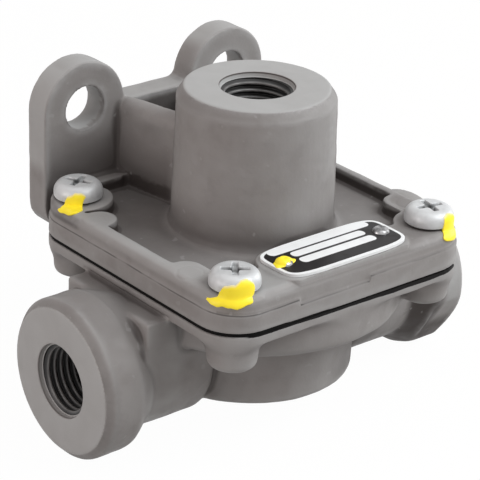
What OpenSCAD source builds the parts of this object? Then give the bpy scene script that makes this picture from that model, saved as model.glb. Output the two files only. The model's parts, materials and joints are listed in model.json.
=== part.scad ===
// Quick exhaust valve with a square cast cover, a cast body with two side ports and a rubber diaphragm.
// Lengths are in millimetres. Heights in the settings are counted from the middle of the flange gasket.
// The model's origin is the middle of the two mounting holes, on the back face of the ears.

/* [Ports] */
// Nominal thread diameter of the supply port and of the two delivery ports
port_thread_d = 16; // [14:0.5:17]
// Length of thread in each of these ports
port_thread_len = 15; // [11:0.5:16]
// Width of the lead-in chamfer at each port mouth
port_lead_in = 0.5; // [0.2:0.1:0.8]
// Diameter of the air passage behind each of these ports
passage_d = 12; // [10:0.5:13]
// Nominal thread diameter of the exhaust port underneath
exhaust_thread_d = 22; // [20:0.5:23]
// Length of thread in the exhaust port
exhaust_thread_len = 10; // [8:0.5:11]

/* [Flange] */
// Side of the square flange that the cover and the body share
flange_w = 71; // [68:0.5:78]
// Corner radius of the flange
flange_corner_r = 9.5; // [8:0.5:12]
// Thickness of the flange gasket
gasket_t = 0.8; // [0.5:0.1:1.5]
// How far the gasket edge stands back from the flange edge
gasket_inset = 0.3; // [0.1:0.1:0.6]
// How much wider the gasket bore is than the chamber
gasket_bore_margin = 1; // [0.4:0.1:2]
// Distance from the flange edge to the axis of each screw
screw_inset = 7.5; // [7:0.1:8.5]

/* [Cover] */
// Height of the rim and of the screw pads
rim_h = 8.5; // [8:0.1:10]
// Height of the mould parting step on the side of the flange
parting_h = 4.8; // [3:0.1:6]
// How far the flange side steps in above the parting line
parting_step = 0.4; // [0.2:0.1:0.8]
// Width of the raised rim
rim_w = 3.4; // [3:0.1:4.5]
// Height of the sunk floor inside the rim
floor_h = 5.5; // [5:0.1:6]
// Radius of the round pad under each screw head
screw_pad_r = 8; // [7.5:0.1:9]
// Radius of the small ejector pads beside the screw pads
ejector_pad_r = 4; // [2:0.1:5]
// Distance along the rim from a screw to its ejector pad
ejector_pad_step = 12.4; // [11:0.1:14]
// How far an ejector pad lies nearer to the flange edge than its screw
ejector_pad_shift = 3; // [1:0.1:4]
// Width of the front rim that the nameplate lies on
front_rim_w = 11.5; // [10:0.1:12.5]
// Length of the shallow notch in the parting line at the front
notch_l = 20; // [10:0.5:30]
// Distance of the middle of the notch to the left of the valve axis
notch_shift = 6; // [0:0.5:12]
// Depth of the notch below the parting line
notch_h = 1.4; // [0.5:0.1:2]
// Height of the supply boss face
boss_h = 38.3; // [36:0.1:42]
// Diameter of the supply boss below its chamfer
boss_d = 35.6; // [33:0.1:38]
// How much the boss widens from its top to its foot
boss_draft = 1.4; // [0.5:0.1:2.5]
// Chamfer round the face of the boss
boss_chamfer = 1.6; // [0.5:0.1:2.5]
// Fillet round the foot of the boss
boss_fillet = 2.4; // [1:0.1:3]

/* [Mounting ears] */
// Distance between the two mounting holes
ear_spacing = 41.5; // [38:0.5:44]
// Diameter of each mounting hole
ear_hole_d = 11; // [9:0.5:13]
// Height of the mounting holes
ear_hole_h = 25.8; // [24:0.1:30]
// Radius of the round end of each ear
ear_r = 11.1; // [10:0.1:13]
// Thickness of the ears
ear_t = 6.7; // [5:0.1:9]
// How far the ears reach below the gasket
ear_drop = 3; // [1:0.1:5]
// Radius of the lower outer corner of each ear
ear_corner_r = 7; // [3:0.1:9]
// Distance from the flange edge back to the front of the ears
ear_setback = 0.1; // [0:0.1:1]
// Gap between the ears and the back edge of the body flange
ear_gap = 0.8; // [0.3:0.1:1.5]
// Height of the saddle wall between the ears
saddle_h = 25.6; // [22:0.1:28]
// Fillet between the saddle wall and the ears
saddle_fillet = 4; // [1:0.1:6]
// Thickness of the webs between the ears and the boss
web_t = 4.6; // [2.5:0.1:5]
// Distance from the middle to the outside of each web at the ear plate
web_ear_x = 13.2; // [11:0.1:15]
// Distance from the middle to the outside of each web at the boss
web_boss_x = 8.4; // [7.5:0.1:12]

/* [Nameplate] */
// Length of the nameplate
plate_l = 35; // [30:0.5:36]
// Width of the nameplate
plate_w = 14.2; // [12:0.1:15]
// Corner radius of the nameplate
plate_corner_r = 5.5; // [3:0.1:6]
// Thickness of the nameplate
plate_t = 0.7; // [0.5:0.1:1]
// Distance from the flange edge to the long middle line of the nameplate
plate_inset = 8.1; // [8:0.1:9]
// How far the nameplate's pad stands above the rim
plate_pad_h = 0.5; // [0.2:0.1:1]
// How far the pad reaches past the nameplate
plate_pad_margin = 0.7; // [0.3:0.1:0.8]
// Distance from the middle of the nameplate to each rivet
rivet_x = 14; // [11:0.1:14.5]
// Diameter of a rivet head
rivet_head_d = 3.9; // [3:0.1:4.5]
// Height of a rivet head
rivet_head_h = 1; // [0.6:0.1:1.5]
// Diameter of a rivet pin
rivet_pin_d = 2; // [1.6:0.1:2.4]
// Length of a rivet pin below its head
rivet_pin_len = 4; // [3:0.1:5]
// Clearance round a rivet pin, on the diameter
rivet_clearance = 0.1; // [0.05:0.05:0.3]

/* [Screws] */
// Nominal diameter of the cover screws
screw_d = 6; // [5:0.5:6]
// Diameter of a screw head
screw_head_d = 11.2; // [10:0.1:12]
// Height of a screw head
screw_head_h = 4; // [3:0.1:5]
// Length of a screw below its head
screw_len = 15; // [13:0.5:16]
// Length of each arm pair of the cross recess
recess_span = 6.2; // [4:0.1:7]
// Width of an arm of the cross recess
recess_w = 1.3; // [0.8:0.1:2]
// Depth of the cross recess
recess_depth = 2.2; // [1:0.1:2.5]
// Room left below a screw or a rivet in its blind hole
blind_room = 0.5; // [0.2:0.1:1]
// Clearance round a screw in its tapped hole, on the diameter
tapped_clearance = 0.1; // [0.05:0.05:0.2]
// Clearance round a screw in the cover and the gasket, on the diameter
screw_clearance = 0.6; // [0.4:0.1:1]

/* [Body] */
// Thickness of the body flange
body_flange_t = 2.8; // [2:0.1:4]
// Radius of the lugs under the screws
lug_r = 5.6; // [5:0.1:6]
// Depth of the lugs below the gasket
lug_depth = 10.2; // [9.5:0.1:11]
// Radius of the rounded lower edge of the lugs
lug_round = 2; // [1:0.1:2.5]
// Diameter of the upper drum
drum_d = 70; // [66:0.1:70.5]
// Depth of the upper drum below the gasket
drum_depth = 11.4; // [11:0.1:14]
// Radius of the rounded lower edge of the upper drum
drum_round = 2; // [0.5:0.1:3]
// Diameter of the lower bowl
bowl_d = 48.4; // [46:0.1:52]
// Depth of the lower bowl below the gasket
bowl_depth = 28.7; // [28:0.1:32]
// Radius of the rounded lower edge of the bowl
bowl_round = 1.5; // [0.5:0.1:3]
// Distance from the middle to each delivery port face
port_reach = 52.8; // [50:0.1:58]
// Depth of the delivery port axis below the gasket
port_depth = 18.8; // [18:0.1:21]
// Diameter of a delivery port boss
port_boss_d = 36.6; // [34:0.1:38]
// Chamfer round a delivery port face
port_boss_chamfer = 1.8; // [0.5:0.1:2.5]
// Length of a delivery port boss from its face to its cone
port_boss_len = 9; // [7:0.1:11]
// Length of the cone behind a delivery port boss
port_cone_len = 5.3; // [3:0.1:7]
// Diameter of the neck behind the cone
neck_d = 29.6; // [27:0.1:32]
// Distance that each neck runs in under the edge of the bowl
neck_under = 4; // [3:0.1:7]
// Radius of the rounded inner end of each neck
neck_round = 3.5; // [1:0.1:5]
// How far the squared top of the neck reaches out of the flange
neck_block_reach = 5; // [2:0.1:6]

/* [Valve] */
// Diameter of the rubber diaphragm
diaphragm_d = 46; // [44:0.1:47]
// Thickness of the rubber diaphragm
diaphragm_t = 3.2; // [2.5:0.1:3.4]
// Depth of the exhaust seat below the gasket
seat_depth = 5; // [4.8:0.1:5.5]
// Width of the lip of each valve seat
seat_lip = 1.5; // [1:0.1:2]
// Bore of the exhaust seat
seat_bore_d = 16; // [14:0.1:17]
// Diameter of the ring seat in the cover, across the middle of its lip
ring_seat_d = 37; // [34:0.1:40]
// Height of the chamber roof in the cover
roof_h = 2.4; // [2.2:0.1:2.8]
// Lift of the diaphragm from the exhaust seat to the ring seat
valve_lift = 2.4; // [2:0.1:2.5]
// Gap left between the diaphragm and a closed seat
seat_gap = 0.15; // [0.05:0.05:0.3]
// Clearance round the diaphragm between the guide ribs
guide_clearance = 0.4; // [0.3:0.05:0.6]
// Diameter of the chamber that the diaphragm moves in
chamber_d = 51; // [50:0.1:52]
// Wall between the chamber floor and the underside of the upper drum
chamber_floor_t = 3; // [2.5:0.1:3.5]
// Number of guide ribs round the chamber
guide_ribs = 8; // [4:1:12]
// Width of a guide rib
guide_rib_w = 2.4; // [1.5:0.1:4]
// Wall between the exhaust thread and the ring channel round it
exhaust_wall = 2.6; // [2:0.1:3]
// Wall between the ring channel and the outside of the bowl
bowl_wall = 3.7; // [3:0.1:4.5]
// Depth of the floor of the ring channel below the gasket
channel_depth = 25.4; // [25.2:0.1:26.5]

/* [Spring] */
// Diameter of the spring chamber in the boss
spring_chamber_d = 21; // [20:0.1:22]
// Height of the shoulder that the spring bears on
spring_shoulder_h = 19.5; // [18:0.1:20]
// Outside diameter of the return spring
spring_d = 18; // [16:0.1:19]
// Diameter of the spring wire
spring_wire_d = 1.4; // [1:0.1:1.8]
// Number of turns of the return spring
spring_turns = 6; // [4:1:8]
// Diameter of the spring seat
spring_seat_d = 20; // [19:0.1:20.4]
// Thickness of the spring seat
spring_seat_t = 1.5; // [1:0.1:1.6]
// Height of the hub that centres the spring
spring_hub_h = 4; // [2:0.1:6]
// Clearance between the hub and the spring, on the diameter
spring_hub_clearance = 0.6; // [0.3:0.1:1]
// Diameter of the diaphragm's moulded stud in the spring seat
stud_d = 5.8; // [4:0.1:7]
// Clearance round the stud, on the diameter
stud_clearance = 0.2; // [0.1:0.05:0.4]

/* [Hidden] */
$fn = 96;
// Small overlap that makes cuts and joins clean
eps = 0.05;
// Steps of a rounded edge in a turned outline
round_steps = 6;
// Sides of the spring wire and steps in one turn of the coil
wire_sides = 8;
coil_steps = 20;

cover_z = gasket_t / 2;
body_z = -gasket_t / 2;
flange_half = flange_w / 2;
screw_xy = flange_half - screw_inset;
screw_side = [-1, 1];
ear_front_y = flange_half + ear_setback;
ear_back_y = ear_front_y + ear_t;
body_back_y = ear_front_y - ear_gap;
port_r = port_thread_d / 2;
passage_r = passage_d / 2;
exhaust_r = exhaust_thread_d / 2;
boss_r = boss_d / 2;
boss_foot_r = boss_r + boss_draft / 2;
front_pad_w = screw_inset - ejector_pad_shift + ejector_pad_r;
plate_y = -flange_half + plate_inset;
plate_z = rim_h + plate_pad_h;
rivet_hole_d = rivet_pin_d + rivet_clearance;
rivet_hole_depth = rivet_pin_len - plate_t + blind_room;
screw_hole_d = screw_d + screw_clearance;
tapped_hole_d = screw_d + tapped_clearance;
tapped_bottom_z = rim_h - screw_len - blind_room;
chamber_r = chamber_d / 2;
gasket_bore_d = chamber_d + gasket_bore_margin;
diaphragm_z = -seat_depth + seat_gap;
diaphragm_top_z = diaphragm_z + diaphragm_t;
ring_seat_z = diaphragm_top_z + valve_lift + seat_gap;
spring_seat_top_z = diaphragm_top_z + spring_seat_t;
hub_d = spring_d - 2 * spring_wire_d - spring_hub_clearance;
channel_outer_r = bowl_d / 2 - bowl_wall;
channel_inner_r = exhaust_r + exhaust_wall;
chamber_floor_z = -drum_depth + chamber_floor_t;
coil_r = (spring_d - spring_wire_d) / 2;

cast_grey = [0.54, 0.53, 0.52];
zinc_grey = [0.82, 0.83, 0.82];

// Moves what is drawn about the valve axis at gasket height into the frame of the mounting holes
module in_mount_frame() {
    translate([0, -ear_back_y, -ear_hole_h]) children();
}

// Rectangle with round corners, centred
module rounded_plate(w, d, r) {
    square([w - 2 * r, d], center = true);
    square([w, d - 2 * r], center = true);
    for (sx = [-1, 1], sy = [-1, 1])
        translate([sx * (w / 2 - r), sy * (d / 2 - r)]) circle(r);
}

// Outline of the flange, drawn in by a margin
module flange_outline(margin = 0) {
    rounded_plate(flange_w - 2 * margin, flange_w - 2 * margin, flange_corner_r - margin / 2);
}

// Outline of the flange, cut short behind so that it clears the ears
module body_flange_outline(margin = 0) {
    intersection() {
        flange_outline(margin);
        translate([-flange_w, -flange_w]) square([2 * flange_w, flange_w + body_back_y - margin]);
    }
}

module at_screws() {
    for (sx = screw_side, sy = screw_side)
        translate([sx * screw_xy, sy * screw_xy]) children();
}

// Points of a quarter round, from one angle to another about a centre
function arc(cx, cy, r, from, to) =
    [for (i = [0:round_steps])
        let(a = from + (to - from) * i / round_steps)
        [cx + r * cos(a), cy + r * sin(a)]];

// A threaded port drawn as a plain bore at the thread's outer diameter, with its mouth at z = 0
module port_bore(thread_r, len) {
    translate([0, 0, -len]) cylinder(r = thread_r, h = len + eps);
    translate([0, 0, -port_lead_in]) cylinder(r1 = thread_r, r2 = thread_r + port_lead_in, h = port_lead_in);
    translate([0, 0, -eps / 10]) cylinder(r = thread_r + port_lead_in, h = 1);
}

// Supply boss with its face chamfer, its draft and its foot fillet
module supply_boss() {
    foot = arc(boss_foot_r + boss_fillet, floor_h + boss_fillet, boss_fillet, 270, 180);
    face = [
        [boss_r, boss_h - boss_chamfer],
        [boss_r - boss_chamfer, boss_h],
        [0, boss_h]
    ];
    outline = concat([[0, cover_z], [boss_foot_r + boss_fillet, cover_z]], foot, face);
    rotate_extrude() polygon(outline);
}

// Square flange with its parting step
module cover_flange() {
    difference() {
        translate([0, 0, cover_z]) linear_extrude(parting_h - cover_z) flange_outline();
        translate([-notch_shift - notch_l / 2, -flange_half - 1, parting_h - notch_h])
            cube([notch_l, 1 + parting_step, notch_h + 1]);
    }
    translate([0, 0, parting_h - eps]) linear_extrude(rim_h - parting_h + eps) flange_outline(parting_step);
    ear_foot();
}

// Strip of flange that carries the foot of the ears
module ear_foot() {
    foot_w = flange_w - 2 * flange_corner_r;
    translate([-foot_w / 2, flange_half - rim_w, cover_z])
        cube([foot_w, rim_w + ear_setback + 1, rim_h - cover_z]);
}

// Nameplate outline grown by a margin
module plate_outline(margin = 0) {
    translate([0, plate_y])
        rounded_plate(plate_l + 2 * margin, plate_w + 2 * margin, plate_corner_r + margin);
}

// Sunk floor inside the rim: the rim, the screw pads and the nameplate pad stay standing
module floor_recess() {
    inner_w = flange_w - 2 * (parting_step + rim_w);
    translate([0, 0, floor_h]) linear_extrude(rim_h) difference() {
        rounded_plate(inner_w, inner_w, flange_corner_r - rim_w);
        at_screws() circle(screw_pad_r);
        for (sx = screw_side, sy = screw_side)
            translate([sx * (screw_xy + ejector_pad_shift), sy * (screw_xy - ejector_pad_step)])
                circle(ejector_pad_r);
        plate_outline(plate_pad_margin);
        translate([-flange_half, -flange_half]) square([flange_w, front_rim_w]);
        for (sx = [0, 1]) mirror([sx, 0])
            translate([-flange_half, -flange_half]) square([front_pad_w, screw_inset + ejector_pad_step]);
    }
}

// Both ears, the saddle wall between them and their round lower corners, seen from behind
module ear_outline() {
    ear_x = ear_spacing / 2;
    for (s = [-1, 1]) translate([s * ear_x, 0]) {
        translate([0, ear_hole_h]) circle(ear_r);
        translate([-ear_r, ear_corner_r - ear_drop])
            square([2 * ear_r, ear_hole_h + ear_drop - ear_corner_r]);
        translate([-ear_r + ear_corner_r, -ear_drop])
            square([2 * (ear_r - ear_corner_r), ear_corner_r + eps]);
        for (side = [-1, 1])
            translate([side * (ear_r - ear_corner_r), ear_corner_r - ear_drop]) circle(ear_corner_r);
    }
    translate([-ear_x, cover_z]) square([2 * ear_x, saddle_h - cover_z]);
    rise = saddle_h + saddle_fillet - ear_hole_h;
    fillet_x = ear_x - sqrt(pow(ear_r + saddle_fillet, 2) - rise * rise);
    for (s = [-1, 1]) difference() {
        polygon([
            [s * fillet_x, saddle_h],
            [s * ear_x, ear_hole_h],
            [s * fillet_x, saddle_h + saddle_fillet]
        ]);
        translate([s * fillet_x, saddle_h + saddle_fillet]) circle(saddle_fillet);
    }
}

module ears() {
    translate([0, ear_back_y, 0]) rotate([90, 0, 0]) linear_extrude(ear_t) ear_outline();
}

// Two webs that tie the ear plate to the boss, with an open pocket between them
module webs() {
    boss_y = sqrt(boss_foot_r * boss_foot_r - web_boss_x * web_boss_x);
    translate([0, 0, cover_z]) linear_extrude(saddle_h - cover_z) for (s = [-1, 1])
        polygon([
            [s * web_ear_x, ear_front_y + eps],
            [s * (web_ear_x - web_t), ear_front_y + eps],
            [s * (web_boss_x - web_t), boss_y - 2],
            [s * web_boss_x, boss_y - 2]
        ]);
}

// Air spaces of the cover: supply thread, passage, spring chamber and diaphragm chamber
module cover_spaces() {
    translate([0, 0, boss_h]) port_bore(port_r, port_thread_len);
    translate([0, 0, spring_shoulder_h - eps])
        cylinder(r = passage_r, h = boss_h - port_thread_len - spring_shoulder_h + 2 * eps);
    cylinder(d = spring_chamber_d, h = spring_shoulder_h);
    difference() {
        translate([0, 0, cover_z - 1]) cylinder(r = chamber_r, h = roof_h - cover_z + 1);
        ring_seat();
    }
}

// Lip in the chamber roof that the lifted diaphragm closes against
module ring_seat() {
    translate([0, 0, ring_seat_z]) difference() {
        cylinder(d = ring_seat_d + seat_lip, h = roof_h);
        translate([0, 0, -eps]) cylinder(d = ring_seat_d - seat_lip, h = roof_h + 2 * eps);
    }
}

module cover() {
    color(cast_grey) in_mount_frame() difference() {
        union() {
            difference() {
                cover_flange();
                floor_recess();
            }
            translate([0, 0, rim_h - eps]) linear_extrude(plate_pad_h + eps) plate_outline(plate_pad_margin);
            supply_boss();
            ears();
            webs();
        }
        cover_spaces();
        at_screws() cylinder(d = screw_hole_d, h = rim_h + 1);
        for (s = [-1, 1])
            translate([s * rivet_x, plate_y, plate_z - rivet_hole_depth])
                cylinder(d = rivet_hole_d, h = rivet_hole_depth + 1);
        for (s = [-1, 1])
            translate([s * ear_spacing / 2, ear_back_y + 1, ear_hole_h]) rotate([90, 0, 0])
                cylinder(d = ear_hole_d, h = ear_t + 2);
    }
}

// Screw lug with a rounded lower edge
module lug() {
    low = arc(lug_r - lug_round, -lug_depth + lug_round, lug_round, -90, 0);
    rotate_extrude() polygon(concat([[0, body_z], [0, -lug_depth]], low, [[lug_r, body_z]]));
}

// Round drum and bowl under the flange
module bowl() {
    drum_r = drum_d / 2;
    bowl_r = bowl_d / 2;
    bowl_edge = arc(bowl_r - bowl_round, -bowl_depth + bowl_round, bowl_round, -90, 0);
    drum_edge = arc(drum_r - drum_round, -drum_depth + drum_round, drum_round, -90, 0);
    outline = concat(
        [[0, body_z], [0, -bowl_depth]],
        bowl_edge,
        [[bowl_r, -drum_depth]],
        drum_edge,
        [[drum_r, body_z]]
    );
    rotate_extrude() polygon(outline);
}

// One delivery port: boss, cone and neck about the X axis, with the squared top of the neck
module delivery_port() {
    r = port_boss_d / 2;
    neck_r = neck_d / 2;
    cone_x = port_reach - port_boss_len;
    inner_x = bowl_d / 2 - neck_under;
    inner_end = arc(neck_r - neck_round, inner_x + neck_round, neck_round, -90, 0);
    boss_end = [
        [neck_r, cone_x - port_cone_len],
        [r, cone_x],
        [r, port_reach - port_boss_chamfer],
        [r - port_boss_chamfer, port_reach],
        [0, port_reach]
    ];
    outline = concat([[0, inner_x]], inner_end, boss_end);
    block_x = flange_half + neck_block_reach;
    translate([0, 0, -port_depth]) rotate([0, 90, 0]) rotate_extrude() polygon(outline);
    translate([0, -neck_r, -port_depth]) cube([block_x, neck_d, port_depth - body_flange_t + body_z]);
}

// Thread and passage of one delivery port
module delivery_bore() {
    translate([port_reach, 0, -port_depth]) rotate([0, 90, 0]) port_bore(port_r, port_thread_len);
    translate([channel_inner_r + 1, 0, -port_depth]) rotate([0, 90, 0])
        cylinder(r = passage_r, h = port_reach - port_thread_len - channel_inner_r - 1 + eps);
}

// Guide ribs that centre the diaphragm in the chamber
module guide_ribs() {
    rib_in = diaphragm_d / 2 + guide_clearance;
    for (i = [0:guide_ribs - 1]) rotate([0, 0, (i + 0.5) * 360 / guide_ribs])
        translate([rib_in, -guide_rib_w / 2, chamber_floor_z - 1])
            cube([chamber_r - rib_in + 1, guide_rib_w, body_z - chamber_floor_z + 1]);
}

// Air spaces of the body: diaphragm chamber, ring channel, exhaust seat bore and exhaust thread
module body_spaces() {
    difference() {
        translate([0, 0, chamber_floor_z]) cylinder(r = chamber_r, h = 1 - chamber_floor_z);
        exhaust_seat();
        guide_ribs();
    }
    difference() {
        translate([0, 0, -channel_depth])
            cylinder(r = channel_outer_r, h = channel_depth + chamber_floor_z + eps);
        translate([0, 0, -channel_depth - 1]) cylinder(r = channel_inner_r, h = channel_depth + 1);
    }
    translate([0, 0, -bowl_depth - eps]) cylinder(d = seat_bore_d, h = bowl_depth);
    translate([0, 0, -bowl_depth]) rotate([180, 0, 0]) port_bore(exhaust_r, exhaust_thread_len);
}

// Conical tower that carries the exhaust seat lip
module exhaust_seat() {
    lip_r = seat_bore_d / 2 + seat_lip;
    translate([0, 0, chamber_floor_z - 1])
        cylinder(r1 = channel_inner_r, r2 = lip_r, h = -seat_depth - chamber_floor_z);
    translate([0, 0, chamber_floor_z - 1]) cylinder(r = lip_r, h = 1 - seat_depth - chamber_floor_z);
}

module body() {
    color(cast_grey) in_mount_frame() difference() {
        union() {
            translate([0, 0, body_z - body_flange_t]) linear_extrude(body_flange_t) body_flange_outline();
            intersection() {
                bowl();
                translate([-flange_w, -flange_w, -2 * bowl_depth])
                    cube([2 * flange_w, flange_w + body_back_y, 2 * bowl_depth]);
            }
            at_screws() lug();
            for (s = [0, 180]) rotate([0, 0, s]) delivery_port();
        }
        body_spaces();
        for (s = [0, 180]) rotate([0, 0, s]) delivery_bore();
        at_screws() translate([0, 0, tapped_bottom_z]) cylinder(d = tapped_hole_d, h = screw_len);
    }
}

module flange_gasket() {
    color([0.05, 0.05, 0.05]) in_mount_frame()
        translate([0, 0, body_z]) linear_extrude(gasket_t) difference() {
            body_flange_outline(gasket_inset);
            circle(d = gasket_bore_d);
            at_screws() circle(d = screw_hole_d);
        }
}

// Pan head screw with a cross recess, its seat at z = 0
module pan_screw() {
    head_r = screw_head_d / 2;
    side_h = screw_head_h * 0.4;
    crown = [for (i = [0:round_steps]) let(a = 90 * i / round_steps)
        [head_r * (0.6 + 0.4 * cos(a)), side_h + (screw_head_h - side_h) * sin(a)]];
    difference() {
        union() {
            rotate_extrude() polygon(concat([[0, 0], [head_r, 0]], crown, [[0, screw_head_h]]));
            translate([0, 0, -screw_len]) cylinder(d = screw_d, h = screw_len + eps);
        }
        for (a = [0, 90]) rotate([0, 0, a])
            translate([-recess_span / 2, -recess_w / 2, screw_head_h - recess_depth])
                cube([recess_span, recess_w, recess_depth + 1]);
    }
}

module cover_screws() {
    color(zinc_grey) in_mount_frame() at_screws() translate([0, 0, rim_h]) pan_screw();
}

module nameplate() {
    color([0.15, 0.15, 0.16]) in_mount_frame()
        translate([0, 0, plate_z]) linear_extrude(plate_t) difference() {
            plate_outline();
            for (s = [-1, 1]) translate([s * rivet_x, plate_y]) circle(d = rivet_hole_d);
        }
}

// Round head drive rivet with its seat at z = 0
module drive_rivet() {
    head_r = rivet_head_d / 2;
    dome = [for (i = [0:round_steps]) let(a = 90 * i / round_steps) [head_r * cos(a), rivet_head_h * sin(a)]];
    rotate_extrude() polygon(concat([[0, 0]], dome));
    translate([0, 0, -rivet_pin_len]) cylinder(d = rivet_pin_d, h = rivet_pin_len + eps);
}

module nameplate_rivets() {
    color(zinc_grey) in_mount_frame() for (s = [-1, 1])
        translate([s * rivet_x, plate_y, plate_z + plate_t]) drive_rivet();
}

// Rubber disc with the moulded stud that carries the spring seat
module valve_diaphragm() {
    color([0.08, 0.08, 0.08]) in_mount_frame() translate([0, 0, diaphragm_z]) {
        cylinder(d = diaphragm_d, h = diaphragm_t);
        cylinder(d = stud_d, h = diaphragm_t + spring_seat_t + spring_hub_h);
    }
}

// Turned seat between the spring and the diaphragm
module spring_seat() {
    color([0.75, 0.62, 0.36]) in_mount_frame() translate([0, 0, diaphragm_top_z]) difference() {
        union() {
            cylinder(d = spring_seat_d, h = spring_seat_t);
            cylinder(d = hub_d, h = spring_seat_t + spring_hub_h);
        }
        translate([0, 0, -1]) cylinder(d = stud_d + stud_clearance, h = spring_seat_t + spring_hub_h + 2);
    }
}

// Helical spring between its seat and the shoulder in the boss
module return_spring() {
    low = spring_seat_top_z + spring_wire_d / 2 + eps;
    high = spring_shoulder_h - spring_wire_d / 2 - eps;
    rings = spring_turns * coil_steps;
    points = [
        for (i = [0:rings], j = [0:wire_sides - 1])
            let(turn = 360 * i / coil_steps)
            let(side = 360 * j / wire_sides)
            let(r = coil_r + spring_wire_d / 2 * cos(side))
            [r * cos(turn), r * sin(turn), low + (high - low) * i / rings + spring_wire_d / 2 * sin(side)]
    ];
    skin = [
        for (i = [0:rings - 1], j = [0:wire_sides - 1])
            let(k = (j + 1) % wire_sides)
            [i * wire_sides + j, i * wire_sides + k, (i + 1) * wire_sides + k, (i + 1) * wire_sides + j]
    ];
    start_cap = [for (j = [wire_sides - 1:-1:0]) j];
    end_cap = [for (j = [0:wire_sides - 1]) rings * wire_sides + j];
    color([0.6, 0.61, 0.63]) in_mount_frame() polyhedron(points, concat([start_cap], skin, [end_cap]));
}

cover();
body();
flange_gasket();
cover_screws();
nameplate();
nameplate_rivets();
valve_diaphragm();
spring_seat();
return_spring();
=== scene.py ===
"""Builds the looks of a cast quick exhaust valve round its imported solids.

Shapes are worked out in millimetres about the valve axis, at the middle of the flange gasket: X runs along
the delivery ports, +Y points at the mounting ears and +Z out of the supply port.
"""
import json
import math

import bmesh
import bpy
import numpy as np
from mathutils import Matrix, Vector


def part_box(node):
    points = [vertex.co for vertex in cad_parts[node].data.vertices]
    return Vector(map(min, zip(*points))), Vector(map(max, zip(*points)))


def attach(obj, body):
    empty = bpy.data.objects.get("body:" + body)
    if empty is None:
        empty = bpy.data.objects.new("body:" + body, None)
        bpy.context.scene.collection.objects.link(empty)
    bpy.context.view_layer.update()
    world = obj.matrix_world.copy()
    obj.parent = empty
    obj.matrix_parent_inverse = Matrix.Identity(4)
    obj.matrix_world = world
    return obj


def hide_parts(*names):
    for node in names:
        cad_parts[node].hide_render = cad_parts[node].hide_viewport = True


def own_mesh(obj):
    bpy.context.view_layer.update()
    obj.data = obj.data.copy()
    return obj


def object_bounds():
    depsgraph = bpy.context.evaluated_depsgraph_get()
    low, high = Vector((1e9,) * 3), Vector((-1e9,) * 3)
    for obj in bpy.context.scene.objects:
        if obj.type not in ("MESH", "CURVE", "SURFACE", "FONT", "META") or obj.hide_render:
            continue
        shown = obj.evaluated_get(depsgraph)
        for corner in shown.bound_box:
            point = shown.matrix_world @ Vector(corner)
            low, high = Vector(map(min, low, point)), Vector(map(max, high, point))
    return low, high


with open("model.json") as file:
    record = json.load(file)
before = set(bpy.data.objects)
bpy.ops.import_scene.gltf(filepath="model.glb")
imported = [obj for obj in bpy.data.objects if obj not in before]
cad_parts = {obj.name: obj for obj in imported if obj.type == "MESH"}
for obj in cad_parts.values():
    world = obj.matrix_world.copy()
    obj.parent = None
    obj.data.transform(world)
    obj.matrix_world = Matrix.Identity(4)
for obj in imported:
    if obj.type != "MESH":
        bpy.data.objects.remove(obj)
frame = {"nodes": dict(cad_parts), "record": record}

import openvdb
from bpy.props import FloatProperty, FloatVectorProperty, IntProperty, PointerProperty
from mathutils import Matrix, Vector

bl_info = {
    "name": "Quick exhaust valve",
    "version": (1, 0, 0),
    "blender": (4, 5, 0),
    "location": "3D View > Sidebar > Valve",
    "description": "Builds the looks of a cast quick exhaust valve round its packed solids",
    "category": "Object",
}

MM = 0.001
CAD_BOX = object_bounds()
MOUNTS = {mount["name"]: mount for mount in frame["record"]["mounts"]}
GASKET_LOW, GASKET_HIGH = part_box("flange_gasket")
VALVE = np.array([*MOUNTS["supply_port"]["pos_m"][:2], (GASKET_LOW.z + GASKET_HIGH.z) / 2])


def valve_box(node):
    """Lowest and highest corner of a CAD node, in valve millimetres."""
    return tuple((np.array(corner) - VALVE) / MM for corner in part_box(node))


COVER_HIGH, BODY_HIGH = valve_box("cover")[1], valve_box("body")[1]
SCREWS_LOW, SCREWS_HIGH = valve_box("cover_screws")
PLATE_LOW, PLATE_HIGH = valve_box("nameplate")
RIVETS_LOW, RIVETS_HIGH = valve_box("nameplate_rivets")
DISC_LOW, DISC_HIGH = valve_box("valve_diaphragm")
SEAT_LOW, SEAT_HIGH = valve_box("spring_seat")
SPRING_LOW, SPRING_HIGH = valve_box("return_spring")
BOSS_TOP = COVER_HIGH[2]
FLANGE_HALF = COVER_HIGH[0]
PORT_REACH = BODY_HIGH[0]
PLATE_MID = (PLATE_LOW + PLATE_HIGH) / 2
PLATE_TOP = PLATE_HIGH[2]
RIVET_RADIUS, RIVET_HEIGHT = (RIVETS_HIGH[1] - RIVETS_LOW[1]) / 2, RIVETS_HIGH[2] - PLATE_TOP
HOLES = (np.array(MOUNTS["mounting_holes"]["pos_m"]) - VALVE) / MM
EAR_HOLE = (MOUNTS["mounting_holes"]["dims"]["spacing_x_mm"] / 2, HOLES[2])
EAR_RADIUS, EAR_FRONT, SADDLE_TOP, SADDLE_FILLET = 11.1, COVER_HIGH[1] - 6.7, 25.6, 2.0
WEB_START, WEB_LENGTH, WEB_ROUND = 14.5, 21.1, 3.2
FLOOR_TOP, RIM_TOP, REAR_RIM = 5.5, 8.5, 31.9
LIP_DROP, PAD_HALF, PAD_CORNER, PAD_MARGIN = 0.55, (17.3, 7.1), 5.5, 1.3
DRUM_RADIUS, CHAMBER_RADIUS, LUG_RADIUS = 35.0, 34.0, 5.6
PORT_LEVEL = (MOUNTS["delivery_port_left"]["pos_m"][2] - VALVE[2]) / MM
MOUTH_RADIUS = 8.95
NOTCH_LOW, NOTCH_HIGH, NOTCH_DEPTH = -16, 4, 1.25


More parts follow.
